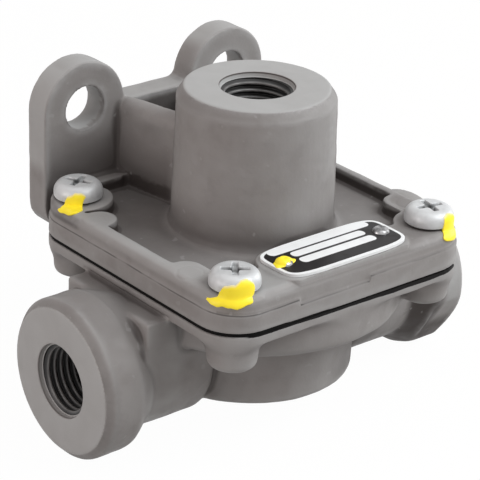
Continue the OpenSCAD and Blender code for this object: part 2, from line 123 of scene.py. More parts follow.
class CastSettings(bpy.types.PropertyGroup):
    """Sizes and colours of the two castings."""

    step: FloatProperty(name="Grid step", description="Step of the grid that the castings are worked out on",
                        default=0.3 * MM, min=0.2 * MM, max=2 * MM, unit="LENGTH")
    cover_round: FloatProperty(name="Cover edge radius", description="Radius of the cast edges of the cover",
                               default=0.5 * MM, unit="LENGTH")
    rim_round: FloatProperty(name="Rim edge radius", description="Radius of the rim's outer top edge",
                             default=2.6 * MM, unit="LENGTH")
    body_round: FloatProperty(name="Body edge radius", description="Radius of the cast edges of the body",
                              default=0.8 * MM, unit="LENGTH")
    slope_round: FloatProperty(name="Chamfer radius", description="Radius below the chamfers of boss and ports",
                               default=0.6 * MM, unit="LENGTH")
    root_round: FloatProperty(name="Body root radius", description="Radius where lugs and drum meet the flange",
                              default=1.4 * MM, unit="LENGTH")
    face_round: FloatProperty(name="Machined edge radius", description="Radius left on the machined edges",
                              default=0.25 * MM, unit="LENGTH")
    flange_corner: FloatProperty(name="Flange corner", description="Radius of the flange corners in plan",
                                 default=9.5 * MM, unit="LENGTH")
    seam_height: FloatProperty(name="Parting line", description="Height of the cover's parting line",
                               default=4.65 * MM, unit="LENGTH")
    waviness: FloatProperty(name="Waviness", description="Unevenness of the cast skin",
                            default=0.035 * MM, unit="LENGTH")
    faces: IntProperty(name="Triangles", description="Most triangles that a casting keeps", default=165000)
    base: FloatVectorProperty(name="Cast grey", description="Main colour of the blasted casting",
                              subtype="COLOR", size=3, default=(0.273, 0.261, 0.255))
    pale: FloatVectorProperty(name="Pale grey", description="Colour of rubbed edges and faces",
                              subtype="COLOR", size=3, default=(0.338, 0.334, 0.331))
    # The bare metal colour also paints light onto the left of the rim, the left neck and the right port's side.
    bare: FloatVectorProperty(name="Bare metal", description="Colour of machined faces",
                              subtype="COLOR", size=3, default=(0.425, 0.433, 0.432))
    # The stain colour is mostly painted shade in hollows, creases, chamfers and shaded sides, besides the real mottled
    # stain.
    shade_and_stain: FloatVectorProperty(name="Stain", description="Colour of the dull stain in hollows",
                               subtype="COLOR", size=3, default=(0.052, 0.043, 0.040))


class TrimSettings(bpy.types.PropertyGroup):
    """Sizes and colours of screws, threads, plate and paint."""

    head_radius: FloatProperty(name="Head radius", description="Radius of a screw head",
                               default=5.6 * MM, unit="LENGTH")
    head_height: FloatProperty(name="Head height", description="Height of a screw head",
                               default=4 * MM, unit="LENGTH")
    lead_in: FloatProperty(name="Lead-in", description="Depth of the plain mouth before each port's gauge length",
                           default=0.5 * MM, unit="LENGTH")
    mouth_step: FloatProperty(name="Mouth step", description="How far the counterbore stands outside the thread",
                              default=0.45 * MM, unit="LENGTH")
    mouth_depth: FloatProperty(name="Mouth depth", description="Depth of the counterbore at each port mouth",
                               default=1.1 * MM, unit="LENGTH")
    pitch: FloatProperty(name="Thread pitch", description="Pitch of the port threads as photographed",
                         default=1.7 * MM, unit="LENGTH")
    thread_depth: FloatProperty(name="Thread depth", description="Depth of the port threads",
                                default=0.81 * MM, unit="LENGTH")
    paint_thickness: FloatProperty(name="Paint thickness", description="Thickness of the lacquer marks",
                                   default=0.2 * MM, unit="LENGTH")
    zinc: FloatVectorProperty(name="Zinc", description="Colour of the plated screws",
                              subtype="COLOR", size=3, default=(0.62, 0.64, 0.65))
    lacquer: FloatVectorProperty(name="Lacquer", description="Colour of the marking lacquer",
                                 subtype="COLOR", size=3, default=(1.0, 0.82, 0.035))


class StageSettings(bpy.types.PropertyGroup):
    """Camera and light."""

    azimuth: FloatProperty(name="Azimuth", description="Turn of the camera round the valve",
                           default=math.radians(-40.269), subtype="ANGLE")
    elevation: FloatProperty(name="Elevation", description="Height angle of the camera",
                             default=math.radians(24.958), subtype="ANGLE")
    roll: FloatProperty(name="Roll", description="Tilt of the camera about its own line of sight",
                        default=math.radians(2.201), subtype="ANGLE")
    distance: FloatProperty(name="Distance", description="Distance of the camera from its target",
                            default=491.957 * MM, unit="LENGTH")
    target: FloatVectorProperty(name="Target", description="Point in the valve's frame that the camera looks at",
                                default=(-3.28 * MM, 0.0, 1.662 * MM), size=3, unit="LENGTH")
    lens: FloatProperty(name="Lens", description="Focal length in millimetres on a 36 mm sensor", default=163.56)
    sky: FloatProperty(name="Sky strength", description="Strength of the even light from all round", default=0.36)
    top: FloatProperty(name="Top light", description="Power of the large light above", default=0.95, unit="POWER")
    left: FloatProperty(name="Left light", description="Power of the light at the left", default=2.1, unit="POWER")
    right: FloatProperty(name="Right light", description="Power of the light at the front right",
                         default=6.3, unit="POWER")
    edge: FloatProperty(name="Edge light", description="Power of the low light at the far right",
                        default=2.2, unit="POWER")


def smooth_step(low, high, value):
    """Rises from 0 at low to 1 at high along a smooth S curve."""
    part = np.clip((value - low) / (high - low), 0.0, 1.0)
    return part * part * (3.0 - 2.0 * part)


def band(value, rise, fall):
    """1 between two smooth edges: rises over the first pair of values and falls over the second."""
    return smooth_step(*rise, value) * smooth_step(*fall, value)


def waves(points, length, seed, count=10):
    """Even noise about 0: a sum of sine waves of like length, each in its own seeded direction."""
    chance = np.random.default_rng(seed)
    heading = chance.normal(size=(count, 3))
    heading /= np.linalg.norm(heading, axis=1)[:, None]
    rate = 2 * np.pi / (length * chance.uniform(0.6, 1.6, count))
    phase = chance.uniform(0, 2 * np.pi, count)
    return np.sin(points @ (heading * rate[:, None]).T + phase).sum(1) / math.sqrt(count / 2)


def grid_faces(rows, columns, wrap_rows=False, wrap_columns=False):
    """Quads of a grid of points that lies row after row, closed on itself where a direction wraps."""
    row = np.arange(rows - (0 if wrap_rows else 1))[:, None]
    column = np.arange(columns - (0 if wrap_columns else 1))[None, :]
    next_row, next_column = (row + 1) % rows, (column + 1) % columns
    quads = [row * columns + column, next_row * columns + column,
             next_row * columns + next_column, row * columns + next_column]
    return np.stack(np.broadcast_arrays(*quads), -1).reshape(-1, 4)


def turned(profile, steps=96):
    """A turned surface: a profile of (radius, height) pairs carried once round the Z axis."""
    radius, height = np.asarray(profile, float).T
    angle = np.linspace(0, 2 * np.pi, steps, endpoint=False)
    x, y = radius[:, None] * np.cos(angle), radius[:, None] * np.sin(angle)
    points = np.stack([x, y, np.broadcast_to(height[:, None], x.shape)], -1).reshape(-1, 3)
    return points, grid_faces(len(radius), steps, wrap_columns=True)


def rounded_profile(corners, steps=5):
    """A profile through (radius, height, rounding) corners; each rounding is a curve that starts and ends
    that far from its corner and bends towards it."""
    corners = np.asarray(corners, float)
    made = [corners[0, :2]]
    share = np.linspace(0, 1, steps)[:, None]
    for before, corner, after in zip(corners, corners[1:], corners[2:]):
        at, size = corner[:2], corner[2]
        if size <= 0:
            made.append(at)
            continue
        start = at + (before[:2] - at) / np.linalg.norm(before[:2] - at) * size
        end = at + (after[:2] - at) / np.linalg.norm(after[:2] - at) * size
        made.extend((1 - share) ** 2 * start + 2 * share * (1 - share) * at + share ** 2 * end)
    made.append(corners[-1, :2])
    return np.array(made)


def along_axis(points, place, axis):
    """Points made about the Z axis, turned so that Z runs along an axis and moved to a place."""
    axis = np.asarray(axis, float)
    side = np.array([0.0, 0.0, 1.0]) if abs(axis[0]) > 0.5 else np.array([1.0, 0.0, 0.0])
    return points @ np.array([side, np.cross(axis, side), axis]) + place


def joined(parts):
    """Several (points, quads) pairs as one."""
    starts = np.cumsum([0] + [len(points) for points, _ in parts[:-1]])
    return (np.concatenate([points for points, _ in parts]),
            np.concatenate([quads + start for (_, quads), start in zip(parts, starts)]))


def keep_measures(mesh, measures):
    """Keeps measures of a mesh's points, by name, for its material."""
    for label, values in measures.items():
        mesh.attributes.new(label, "FLOAT", "POINT").data.foreach_set("value", np.ravel(values).astype(np.float32))


def vertex_values(mesh, name):
    """The place or the normal of every point of a mesh."""
    values = np.empty(len(mesh.vertices) * 3, np.float32)
    mesh.vertices.foreach_get(name, values)
    return values.reshape(-1, 3)


def new_object(name, points, quads, **measures):
    """A mesh object from valve millimetres, with measures of its points for the material."""
    mesh = bpy.data.meshes.new(name)
    mesh.vertices.add(len(points))
    mesh.vertices.foreach_set("co", (points * MM + VALVE).astype(np.float32).ravel())
    mesh.loops.add(quads.size)
    mesh.loops.foreach_set("vertex_index", quads.astype(np.int32).ravel())
    mesh.polygons.add(len(quads))
    mesh.polygons.foreach_set("loop_start", np.arange(0, quads.size, 4, dtype=np.int32))
    mesh.update(calc_edges=True)
    keep_measures(mesh, measures)
    made = bpy.data.objects.new(name, mesh)
    bpy.context.scene.collection.objects.link(made)
    return made


def close_poles(made):
    """Merges points that fall together, so that poles and seams are closed, and turns faces outwards."""
    shape = bmesh.new()
    shape.from_mesh(made.data)
    bmesh.ops.remove_doubles(shape, verts=shape.verts, dist=1e-7)
    bmesh.ops.dissolve_degenerate(shape, edges=shape.edges, dist=1e-8)
    bmesh.ops.recalc_face_normals(shape, faces=shape.faces)
    shape.to_mesh(made.data)
    shape.free()
    return made


def shade(made, angle=40):
    """Smooth shading that keeps edges sharper than an angle."""
    made.data.shade_smooth()
    made.data.set_sharp_from_angle(angle=math.radians(angle))
    return made


def finished(made, look, body, slot, *nodes):
    """Gives a piece its material and the body it rides on, and hides the CAD nodes it stands for. The slot is not used.
    """
    made.data.materials.clear()
    made.data.materials.append(look)
    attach(made, body)
    if nodes:
        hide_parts(*nodes)
    return made


def numpy_piece(name, shape, look, body, slot, *nodes, angle=40, **measures):
    """A finished piece from (points, quads)."""
    made = close_poles(new_object(name, *shape, **measures))
    return finished(shade(made, angle), look, body, slot, *nodes)


def apply_modifiers(made):
    """Puts what the modifiers show into the mesh itself."""
    graph = bpy.context.evaluated_depsgraph_get()
    mesh = bpy.data.meshes.new_from_object(made.evaluated_get(graph))
    made.modifiers.clear()
    old, made.data = made.data, mesh
    bpy.data.meshes.remove(old)
    return made


def port(name):
    """A port's mouth centre and axis in valve millimetres, its thread radius and its depth from the mouth."""
    mount, lead_in = MOUNTS[name], bpy.context.scene.valve_trim.lead_in / MM
    axis = np.array(mount["axis"], float)
    middle = (np.array(mount["pos_m"]) - VALVE) / MM
    length = mount["dims"]["length_mm"]
    return {"mouth": middle + axis * (length / 2 + lead_in), "axis": axis,
            "radius": mount["dims"]["r_mm"], "depth": length + lead_in}


def node_field(node, step):
    """Signed distance to a CAD node's skin on a cubic grid, below zero inside the metal, and the grid's axes."""
    shape = bmesh.new()
    shape.from_mesh(frame["nodes"][node].data)
    bmesh.ops.remove_doubles(shape, verts=shape.verts, dist=1e-7)
    bmesh.ops.triangulate(shape, faces=shape.faces)
    points = (np.array([vertex.co for vertex in shape.verts]) - VALVE) / MM
    triangles = np.array([[vertex.index for vertex in face.verts] for face in shape.faces], np.uint32)
    shape.free()
    margin = math.ceil(3.2 / step)
    grid = openvdb.FloatGrid.createLevelSetFromPolygons(
        points.astype(np.float32), triangles=triangles,
        transform=openvdb.createLinearTransform(step), halfWidth=float(margin))
    low = np.floor(points.min(0) / step).astype(int) - 6
    high = np.ceil(points.max(0) / step).astype(int) + 6
    field = np.empty(tuple(high - low + 1), np.float32)
    grid.copyToArray(field, ijk=tuple(int(value) for value in low))
    axes = [np.arange(a, b + 1) * step for a, b in zip(low, high)]
    return field, axes


def gaussian(field, sigma):
    """A grid smoothed by a bell curve, one direction after the other. It turns sharp edges into round ones."""
    reach = max(1, math.ceil(2.6 * sigma))
    weight = np.exp(-0.5 * (np.arange(-reach, reach + 1) / sigma) ** 2).astype(np.float32)
    weight /= weight.sum()
    for axis in range(3):
        widths = [(reach, reach) if k == axis else (0, 0) for k in range(3)]
        wide = np.pad(field, widths, mode="edge")
        count = field.shape[axis]
        field = sum(part * np.take(wide, range(k, k + count), axis) for k, part in enumerate(weight))
    return field


def sample(field, axes, points):
    """Values of a grid at points, mixed straight between the eight grid values round each."""
    step = axes[0][1] - axes[0][0]
    place = (points - np.array([axis[0] for axis in axes])) / step
    place = np.clip(place, 0, np.array(field.shape) - 1.001)
    low = place.astype(int)
    part = place - low
    total = np.zeros(len(points))
    for corner in np.ndindex(2, 2, 2):
        weight = np.prod(np.where(corner, part, 1 - part), 1)
        total += weight * field[tuple((low + corner).T)]
    return total


def field_surface(field, axes):
    """The skin where a grid is zero, as points and quads that face outwards."""
    step = float(axes[0][1] - axes[0][0])
    grid = openvdb.FloatGrid(float(field.max()))
    grid.copyFromArray(np.ascontiguousarray(field))
    grid.transform = openvdb.createLinearTransform(step)
    points, quads = grid.convertToQuads(0.0)
    points = points.astype(float) + np.array([axis[0] for axis in axes])
    a, b, c = (points[quads[:, k]] for k in range(3))
    d = points[quads[:, 3]]
    volume = np.einsum("ij,ij->i", a, np.cross(b, c) + np.cross(c, d)).sum()
    return points, quads.astype(np.int64) if volume > 0 else quads[:, ::-1].astype(np.int64)


def plugged(field, axes, ports):
    """Fills the threaded length of each port, so that a clean bore can be cut there."""
    x, y, z = np.meshgrid(*axes, indexing="ij", sparse=True)
    for opening in ports:
        away = [value - mouth for value, mouth in zip((x, y, z), opening["mouth"])]
        along = sum(value * part for value, part in zip(away, opening["axis"]))
        across = np.sqrt(np.maximum(sum(value * value for value in away) - along * along, 0))
        plug = np.maximum(across - opening["radius"] - 1.5, np.maximum(along, -along - opening["depth"]))
        field = np.minimum(field, plug.astype(np.float32))
    return field


def port_cutter(opening):
    """The turned shape that a port's tap drill and counterbore take out, along the port's axis."""
    trim = bpy.context.scene.valve_trim
    radius, bottom, out, break_edge = opening["radius"], -opening["depth"] - 0.3, 2.0, 0.15
    wide, deep = radius + trim.mouth_step / MM, trim.mouth_depth / MM
    profile = [(0, out), (wide + break_edge + out, out), (wide, -break_edge), (wide - 0.03, -0.32),
               (wide - 0.06, -0.5), (wide - 0.2, -deep), (radius, -deep - 0.08), (radius, bottom), (0, bottom)]
    points, quads = turned(profile, 128)
    return along_axis(points, opening["mouth"], opening["axis"]), quads


def round_corner(a, b, radius):
    """Distance to a corner of two faces whose edge is rounded: past both faces it is measured from the round."""
    past_a, past_b = a + radius, b + radius
    return np.minimum(np.maximum(past_a, past_b), 0) + np.hypot(np.maximum(past_a, 0), np.maximum(past_b, 0)) - radius


def round_join(a, b, radius):
    """Distance to two joined shapes whose inner corner is filled by a fillet."""
    filled = np.hypot(np.maximum(radius - a, 0), np.maximum(radius - b, 0))
    return np.maximum(radius, np.minimum(a, b)) - filled


def overlap(*distances):
    """Distance to what several shapes have in common: the greatest of theirs."""
    return np.maximum.reduce(np.broadcast_arrays(*distances))


def cover_shape(field, axes):
    """Finer forms of the cover than its solid has. A tight fillet joins each ear's round end to the saddle, the
    webs are thinner with one round top edge, the boss has a steeper chamfer, the bolt holes fit closely, the rim's
    outer top edge is round, a lip hangs over the gasket in front and the pad stands out round the nameplate. Each
    is a distance in section that is cut away or joined on."""
    cast = bpy.context.scene.valve_cast
    x, y, z = np.meshgrid(*axes, indexing="ij", sparse=True)
    side, away, edge = np.abs(x), np.hypot(x, y), flange_distance(x, y)
    bolt = np.hypot(side - EAR_HOLE[0], z - EAR_HOLE[1])
    saddle = round_join(bolt - EAR_RADIUS, z - SADDLE_TOP, SADDLE_FILLET)
    field = np.where((y > EAR_FRONT - 0.3) & (side < EAR_HOLE[0]), np.maximum(field, saddle), field)

    share = (y - WEB_START) / WEB_LENGTH
    old, new, inner = 8.4 + 4.8 * share, 8.4 + 3.0 * share, 3.8 + 4.8 * share
    ground = np.where(y > REAR_RIM, RIM_TOP, FLOOR_TOP)
    gone = overlap(side - old - 0.6, inner + 0.9 - side, y - EAR_FRONT, ground - z, 18.8 - away)
    web = round_corner(side - new, z - SADDLE_TOP - 0.9, WEB_ROUND)
    web = overlap(web, inner - side, y - EAR_FRONT - 0.5, 5.0 - z, 17.6 - away, WEB_START - y)
    field = np.minimum(np.maximum(field, -gone), web)

    slope = ((away - 16.2) * 2.5 - (BOSS_TOP - z) * 1.65) / 3.0
    field = np.where((z > 32) & (away < 25), np.maximum(field, slope), field)
    field = np.minimum(field, overlap(5.25 - bolt, bolt - 6.2, EAR_FRONT - y, y - COVER_HIGH[1]))

    bend, top = cast.rim_round / MM, SCREWS_HIGH[2] - bpy.context.scene.valve_trim.head_height / MM
    near = (edge > -bend - 0.3) & (y < 30) & (z > cast.seam_height / MM + 0.2) & (z < 12)
    field = np.where(near, np.maximum(field, round_corner(edge + 0.2, z - top, bend)), field)
    lip = overlap(edge, -edge - 0.8, z - 1.0, 0.4 - LIP_DROP * smooth_step(-28, 2, x) - z, y + 33)
    field = np.minimum(field, lip)

    plan = round_corner(side - PAD_HALF[0], np.abs(y - PLATE_MID[1]) - PAD_HALF[1], PAD_CORNER)
    pad = overlap(plan - PAD_MARGIN, z - PLATE_LOW[2] + 0.04, 6.5 - z, edge + 0.8)
    return np.minimum(field, pad).astype(np.float32)


def body_shape(field, axes):
    """Finer forms of the body than its solid has: lugs and drum flare out to the flange with the cube of the
    height, the squared necks reach up to a thin ledge of the flange, a shallow cone fills the corner between their
    top and the port, and the right port has a flat below its front."""
    x, y, z = np.meshgrid(*axes, indexing="ij", sparse=True)
    side, across, away = np.abs(x), np.abs(y), np.hypot(x, y)
    reach = SCREWS_HIGH[0] - bpy.context.scene.valve_trim.head_radius / MM
    lug = np.hypot(side - reach, across - reach) - LUG_RADIUS - 4.0 * np.clip((z + 8.5) / 7.0, 0, 1) ** 3
    drum = away - DRUM_RADIUS - 3.0 * np.clip((z + 7.5) / 6.0, 0, 1) ** 3
    flare = overlap(np.minimum(lug, drum), flange_distance(x, y) + 0.1, y - BODY_HIGH[1] + 0.1, z + 1.5, -9.5 - z,
                    CHAMBER_RADIUS - away)
    block = overlap(side - 40.5, CHAMBER_RADIUS - away, across - 14.8, z + 2.75, -8 - z)
    cone = 16.2 + (side - 36.5) * 0.267 - 0.35 * np.clip(PORT_LEVEL + 11 - z, 0, 12)
    corner = overlap(np.hypot(y, z - PORT_LEVEL) - cone, 36 - side, side - 45, PORT_LEVEL - z)
    ledge = overlap(35.1 - side, side - 36.0, across - 15.5, -2.75 - z, z + 2.0)
    flat = np.where(x > 43, -0.866 * y - 0.5 * (z - PORT_LEVEL) - 16.7, -9.0)
    for added in (flare, block, corner):
        field = np.minimum(field, added)
    return np.maximum.reduce([field, -ledge, flat]).astype(np.float32)


EDGE_REACH, EDGE_FULL, HOLLOW_REACH, STRIDE = 1.1, 0.4, 5.0, 3
RADIUS_PER_BELL = 1.93


def casting(name, node, openings, shape, rounding, relief, bare, seam):
    """A casting from a CAD node: its distance field gets its finer forms, is rounded by the given rule, meshed, given
    the relief of the cast skin and thinned, and the port bores are cut into it. The points keep measures for the
    material: edge, above zero on outer edges, hollow, above zero in corners, bare, 1 on machined faces, above zero
    where light is painted on and below zero where shade is painted on, and the height over the parting line with the
    strength of its painted shadow line."""
    cast = bpy.context.scene.valve_cast
    step = cast.step / MM * 1
    field, axes = node_field(node, step)
    field = plugged(shape(field, axes), axes, openings)
    field = rounding(field, axes, step)
    points, quads = field_surface(field, axes)
    nudge = np.eye(3) * step
    normal = np.stack([sample(field, axes, points + way) - sample(field, axes, points - way) for way in nudge], 1)
    normal /= np.maximum(np.linalg.norm(normal, axis=1), 1e-9)[:, None]
    points = np.clip(points + normal * relief(points, normal)[:, None], *valve_box(node))
    made = new_object(name, points, quads)
    thin = made.modifiers.new("thin", "DECIMATE")
    thin.ratio = min(1.0, cast.faces / (2 * len(quads)))
    apply_modifiers(made)
    for opening in openings:
        cutter = close_poles(new_object("port_cutter", *port_cutter(opening)))
        cut = made.modifiers.new("bore", "BOOLEAN")
        cut.operation, cut.solver, cut.object = "DIFFERENCE", "MANIFOLD", cutter
        apply_modifiers(made)
        bpy.data.objects.remove(cutter)
    spots = (vertex_values(made.data, "co") - VALVE) / MM
    edge = sample(gaussian(field, EDGE_REACH / step) - field, axes, spots) / EDGE_FULL
    coarse = (field[::STRIDE, ::STRIDE, ::STRIDE] < 0).astype(np.float32)
    hollow = sample(gaussian(coarse, HOLLOW_REACH / (STRIDE * step)), [axis[::STRIDE] for axis in axes], spots)
    level, strength = seam(spots)
    # Besides the machined faces, the bare measure carries painted light above zero and painted shade below zero.
    keep_measures(made.data, {"edge": edge, "hollow": (hollow - 0.5) * 2, "seam": level, "line": strength,
                              "bare": bare(spots, vertex_values(made.data, "normal"))})
    return shade(made, 34)


def blend_by_region(field, step, rules):
    """Mixes grids rounded to several radii: each rule is a radius in metres and a weight grid."""
    total, share = 0.0, 0.0
    for radius, weight in rules:
        weight = weight.astype(np.float32)
        total = total + gaussian(field, radius / MM / RADIUS_PER_BELL / step) * weight
        share = share + weight
    return (total / share).astype(np.float32)


def flange_distance(x, y):
    """Distance in plan outside the flange's rounded square, below zero on the flange."""
    corner = bpy.context.scene.valve_cast.flange_corner / MM
    return round_corner(np.abs(x) - FLANGE_HALF, np.abs(y) - FLANGE_HALF, corner)


def cover_rounding(field, axes, step):
    """Cast edges are slightly round; the machined faces stay crisp."""
    cast = bpy.context.scene.valve_cast
    x, y, z = np.meshgrid(*axes, indexing="ij", sparse=True)
    bolt = smooth_step(8.0, 7.2, np.hypot(np.abs(x) - EAR_HOLE[0], z - EAR_HOLE[1]))
    bolt = bolt * smooth_step(EAR_FRONT - 2, EAR_FRONT - 1, y)
    machined = np.clip(smooth_step(BOSS_TOP - 1.1, BOSS_TOP - 0.6, z) + smooth_step(2.2, 1.2, z) + bolt, 0, 1)
    slope = smooth_step(BOSS_TOP - 6, BOSS_TOP - 4.5, z) * smooth_step(26, 24, np.hypot(x, y)) * (1 - machined)
    return blend_by_region(field, step, [
        (cast.face_round, machined), (cast.slope_round, slope), (cast.cover_round, 1 - machined - slope)])


def machined_face(away, below, strength=1.0):
    """Bare metal on a port's machined face and on the short plain wall of its mouth, with a painted shade line at the
    edge of the mouth, from the distance to the port's axis and the depth below the face."""
    mouth = (away < MOUTH_RADIUS) & (below > 0.1) & (below < 1.4)
    # Just below the face, the mouth wall gets -0.9: a painted shade line.
    return np.where(mouth, 1.75 * smooth_step(0.34, 0.48, below) - 0.9, strength * smooth_step(0.25, 0.1, below))


def edge_painted_shade(below):
    """Painted shade on a machined face's chamfer, darkest in a fine line at the edge, from the depth below the face."""
    return np.maximum(0.45 * band(below, (0.12, 0.22), (0.75, 0.5)), 0.24 * band(below, (0.12, 0.3), (3.0, 2.3)))


def cover_bare_light_and_shade(points, normal):
    """The machined face of the boss, and in part the bolt holes and the trimmed outline of the ears; the left of the
    rim is made paler as painted light. Painted shade lies on the floor, less so in front, on the walls round it, behind
    the boss, between the webs, on the ears' front, on the right of the rim, on its round edge in front and in a line
    round the bolt holes."""
    x, y, z = points.T
    tilt_x, tilt_y, tilt_z = normal.T
    side, away, below = np.abs(x), np.hypot(x, y), BOSS_TOP - z
    level = smooth_step(0.6, 0.9, tilt_z)
    upright = 1 - level

    boss = machined_face(away, below, 0.85)
    outline = smooth_step(34.8, 35.9, y) * smooth_step(0.5, 0.2, np.abs(tilt_y)) * smooth_step(11, 15, z)
    outline = outline * smooth_step(0.2, 0.5, tilt_z + np.abs(tilt_x))
    outline = 0.85 * outline * smooth_step(-0.2, 0.3, tilt_x * np.sign(x) + tilt_z)
    rim = level * band(z, (7.6, 8.2), (9.6, 9.0))
    bolt = np.hypot(side - EAR_HOLE[0], z - EAR_HOLE[1])
    bore = 0.75 * smooth_step(5.9, 5.6, bolt) * (y > EAR_FRONT + 0.5)
    # Painted light: the rim is made paler towards the left.
    paler_and_painted_light = np.maximum.reduce([outline, bore, 0.5 * rim * smooth_step(2, -18, x)])

    # Painted shade from here on: floor, walls, lower walls, pocket, saddle, ear fronts, ledge and chamfers are darkened
    # where the boss, ears, webs and rim shade them.
    floor = level * band(z, (5.0, 5.3), (6.6, 6.0)) * (0.2 + 0.22 * smooth_step(-24, 4, y))
    behind = 0.64 * band(y, (17, 20), (36, 35.4)) * upright * band(z, (5.2, 6.0), (24, 7))
    inside = upright * smooth_step(-1.5, -2.7, flange_distance(x, y))
    walls = inside * smooth_step(9.7, 8.7, z) * (0.35 + 0.58 * smooth_step(19.5, 21.5, away))
    low = 0.6 * inside * smooth_step(17, 5.5, z)
    pocket = 0.75 * smooth_step(8.5, 7.0, side) * smooth_step(25.2, 23.8, z)
    pocket = pocket * band(y, (17.5, 19.0), (EAR_FRONT + 1.2, EAR_FRONT + 0.6))
    saddle = 0.42 * smooth_step(9.5, 8.5, side) * smooth_step(33, 35, y) * smooth_step(24.5, 25.3, z)
    saddle = saddle * smooth_step(0.7, 0.4, tilt_y)
    plain = smooth_step(-0.7, -0.95, tilt_y) * smooth_step(EAR_FRONT - 1, EAR_FRONT - 0.4, y)
    plain = plain * (0.1 + 0.5 * smooth_step(22, 9, z))
    ledge = 0.5 * band(y, (30.5, 32), (36.2, 35.6)) * smooth_step(11.5, 9.5, z)
    # Painted shade on the rim's round edge in front, which the front light strikes most.
    glare = 0.35 * band(tilt_z, (0.2, 0.45), (0.97, 0.88)) * smooth_step(-0.2, -0.4, tilt_y) * (y < -30) * (z < 9)
    chamfer = np.where(away > 14, edge_painted_shade(below), 0)
    # The right of the rim gets painted shade too.
    stain_and_painted_shade = np.maximum.reduce([floor, behind, walls, low, pocket, saddle, plain, ledge, glare, chamfer,
                                 0.3 * rim * smooth_step(-5, 25, x)])
    # A painted shade line round the mouth of each bolt hole.
    ring = 0.75 * smooth_step(5.85, 5.5, bolt) * (np.abs(y - EAR_FRONT) < 0.6)
    return np.where(ring > 0.05, -ring, np.where(np.abs(boss) > 0, boss, paler_and_painted_light) - stain_and_painted_shade)


def body_bare_light_and_shade(points, normal):
    """The machined faces of the two delivery ports; the left neck and the right port's side are made paler as painted
    light. Painted shade lies on their chamfers, on the right port's cone and lower side, on the bowl, on the necks' top
    and under the flange."""
    x, y, z = points.T
    side, away = np.abs(x), np.hypot(y, z - PORT_LEVEL)
    below = PORT_REACH - side
    right = smooth_step(-4, 2, x)
    # Painted light: the right port's side and the front of the left neck are made paler.
    paler_and_painted_light = 0.55 * right * smooth_step(45.0, 46.5, side) * smooth_step(PORT_LEVEL - 8, PORT_LEVEL - 2, z)
    neck = 0.28 * band(side, (28, 33), (42, 39)) * smooth_step(-0.3, -0.7, normal[:, 1]) * (x < 0)

    # Painted shade where the flange, lugs and ports shade the body, and on faces turned downwards.
    cone = 0.97 * right * band(side, (36.5, 38.5), (47.0, 44.0)) * smooth_step(-8, -13, z)
    low = 0.95 * right * smooth_step(36.0, 38.0, side) * smooth_step(PORT_LEVEL - 6, PORT_LEVEL - 11, z)
    bowl = 0.55 * smooth_step(2, 12, x) * smooth_step(-10.5, -12.5, z) * smooth_step(30, 27, side)
    under = 0.3 * smooth_step(-0.2, -0.7, normal[:, 2]) * smooth_step(-34, -20, z)
    top = 0.24 * smooth_step(29, 31, side) * smooth_step(0.5, 0.8, normal[:, 2])
    chamfer = np.where(away > 10, edge_painted_shade(below), 0)
    stain_and_painted_shade = np.maximum.reduce([cone, low, bowl, under, top, chamfer])
    return np.maximum.reduce([machined_face(away, below), paler_and_painted_light, neck]) - stain_and_painted_shade


def cover_seam(points):
    """Height over the parting line in millimetres and the strength of its painted shadow line: the line dips at the
    notch in the front, is faint beyond it and stops at the ears."""
    x, y, z = points.T
    height = bpy.context.scene.valve_cast.seam_height / MM
    front = y < -FLANGE_HALF + 2
    notch = front & (x > NOTCH_LOW) & (x < NOTCH_HIGH)
    strength = np.where(front & (x > NOTCH_LOW + 0.6), 0.22, 0.58)
    strength = np.where(front & (np.abs(x - 6.0) < 2.6), 0.44, strength)
    strength = np.where((np.abs(x - NOTCH_LOW) < 0.7) | (np.abs(x - NOTCH_HIGH) < 0.7), 0.75, strength)
    edge = np.maximum(np.abs(x), np.abs(y)) > FLANGE_HALF - 3.2
    return z - np.where(notch, height - NOTCH_DEPTH, height), np.where(edge & (y < 33.8), strength, 0.0)


def gasket_shade(points):
    """A painted shadow strip on the body's edge under the gasket in front, wider to the right and narrow at its end:
    the height over its middle in fifths of its half height, and its strength."""
    x, y, z = points.T
    width = 0.1 + 0.95 * np.clip((x + 30) / 42, 0, 1) - 0.6 * smooth_step(14, 33, x)
    level = (z - BODY_HIGH[2] + 0.25 * width) / (0.75 * width + 0.1) * 0.2
    return level, np.where(y < -FLANGE_HALF + 1.5, 9.0 * smooth_step(-31, -22, x), 0.0)


def body_rounding(field, axes, step):
    """Cast edges are round, most of all where lugs and drum meet the flange; faces that are machined stay crisp."""
    cast = bpy.context.scene.valve_cast
    x, y, z = np.meshgrid(np.abs(axes[0]), np.abs(axes[1]), axes[2], indexing="ij", sparse=True)
    machined = np.clip(smooth_step(PORT_REACH - 1.1, PORT_REACH - 0.6, x) + smooth_step(-3.0, -1.8, z), 0, 1)
    slope = smooth_step(PORT_REACH - 6, PORT_REACH - 4.5, x) * (1 - machined)
    block = smooth_step(29, 31, x) * smooth_step(17.5, 16.0, y)
    root = band(z, (-14.5, -12.5), (-2.4, -3.4)) * smooth_step(43, 41, x) * (1 - block) * (1 - machined) * (1 - slope)
    return blend_by_region(field, step, [
        (cast.face_round, machined), (cast.slope_round, slope), (cast.root_round, root),
        (cast.body_round, 1 - machined - root - slope)])


def ring_mark(points, centre, radius, width, depth):
    """A shallow round groove such as an ejector pin leaves: a bell curve across a circle."""
    away = np.hypot(points[:, 0] - centre[0], points[:, 1] - centre[1]) - radius
    return -depth * np.exp(-(away / width) ** 2)


def cast_waves(points, lengths, seeds):
    """Waviness of a cast skin: long waves, and short ones a third as high."""
    height = bpy.context.scene.valve_cast.waviness / MM
    return waves(points, lengths[0], seeds[0]) * height + waves(points, lengths[1], seeds[1]) * height * 0.35


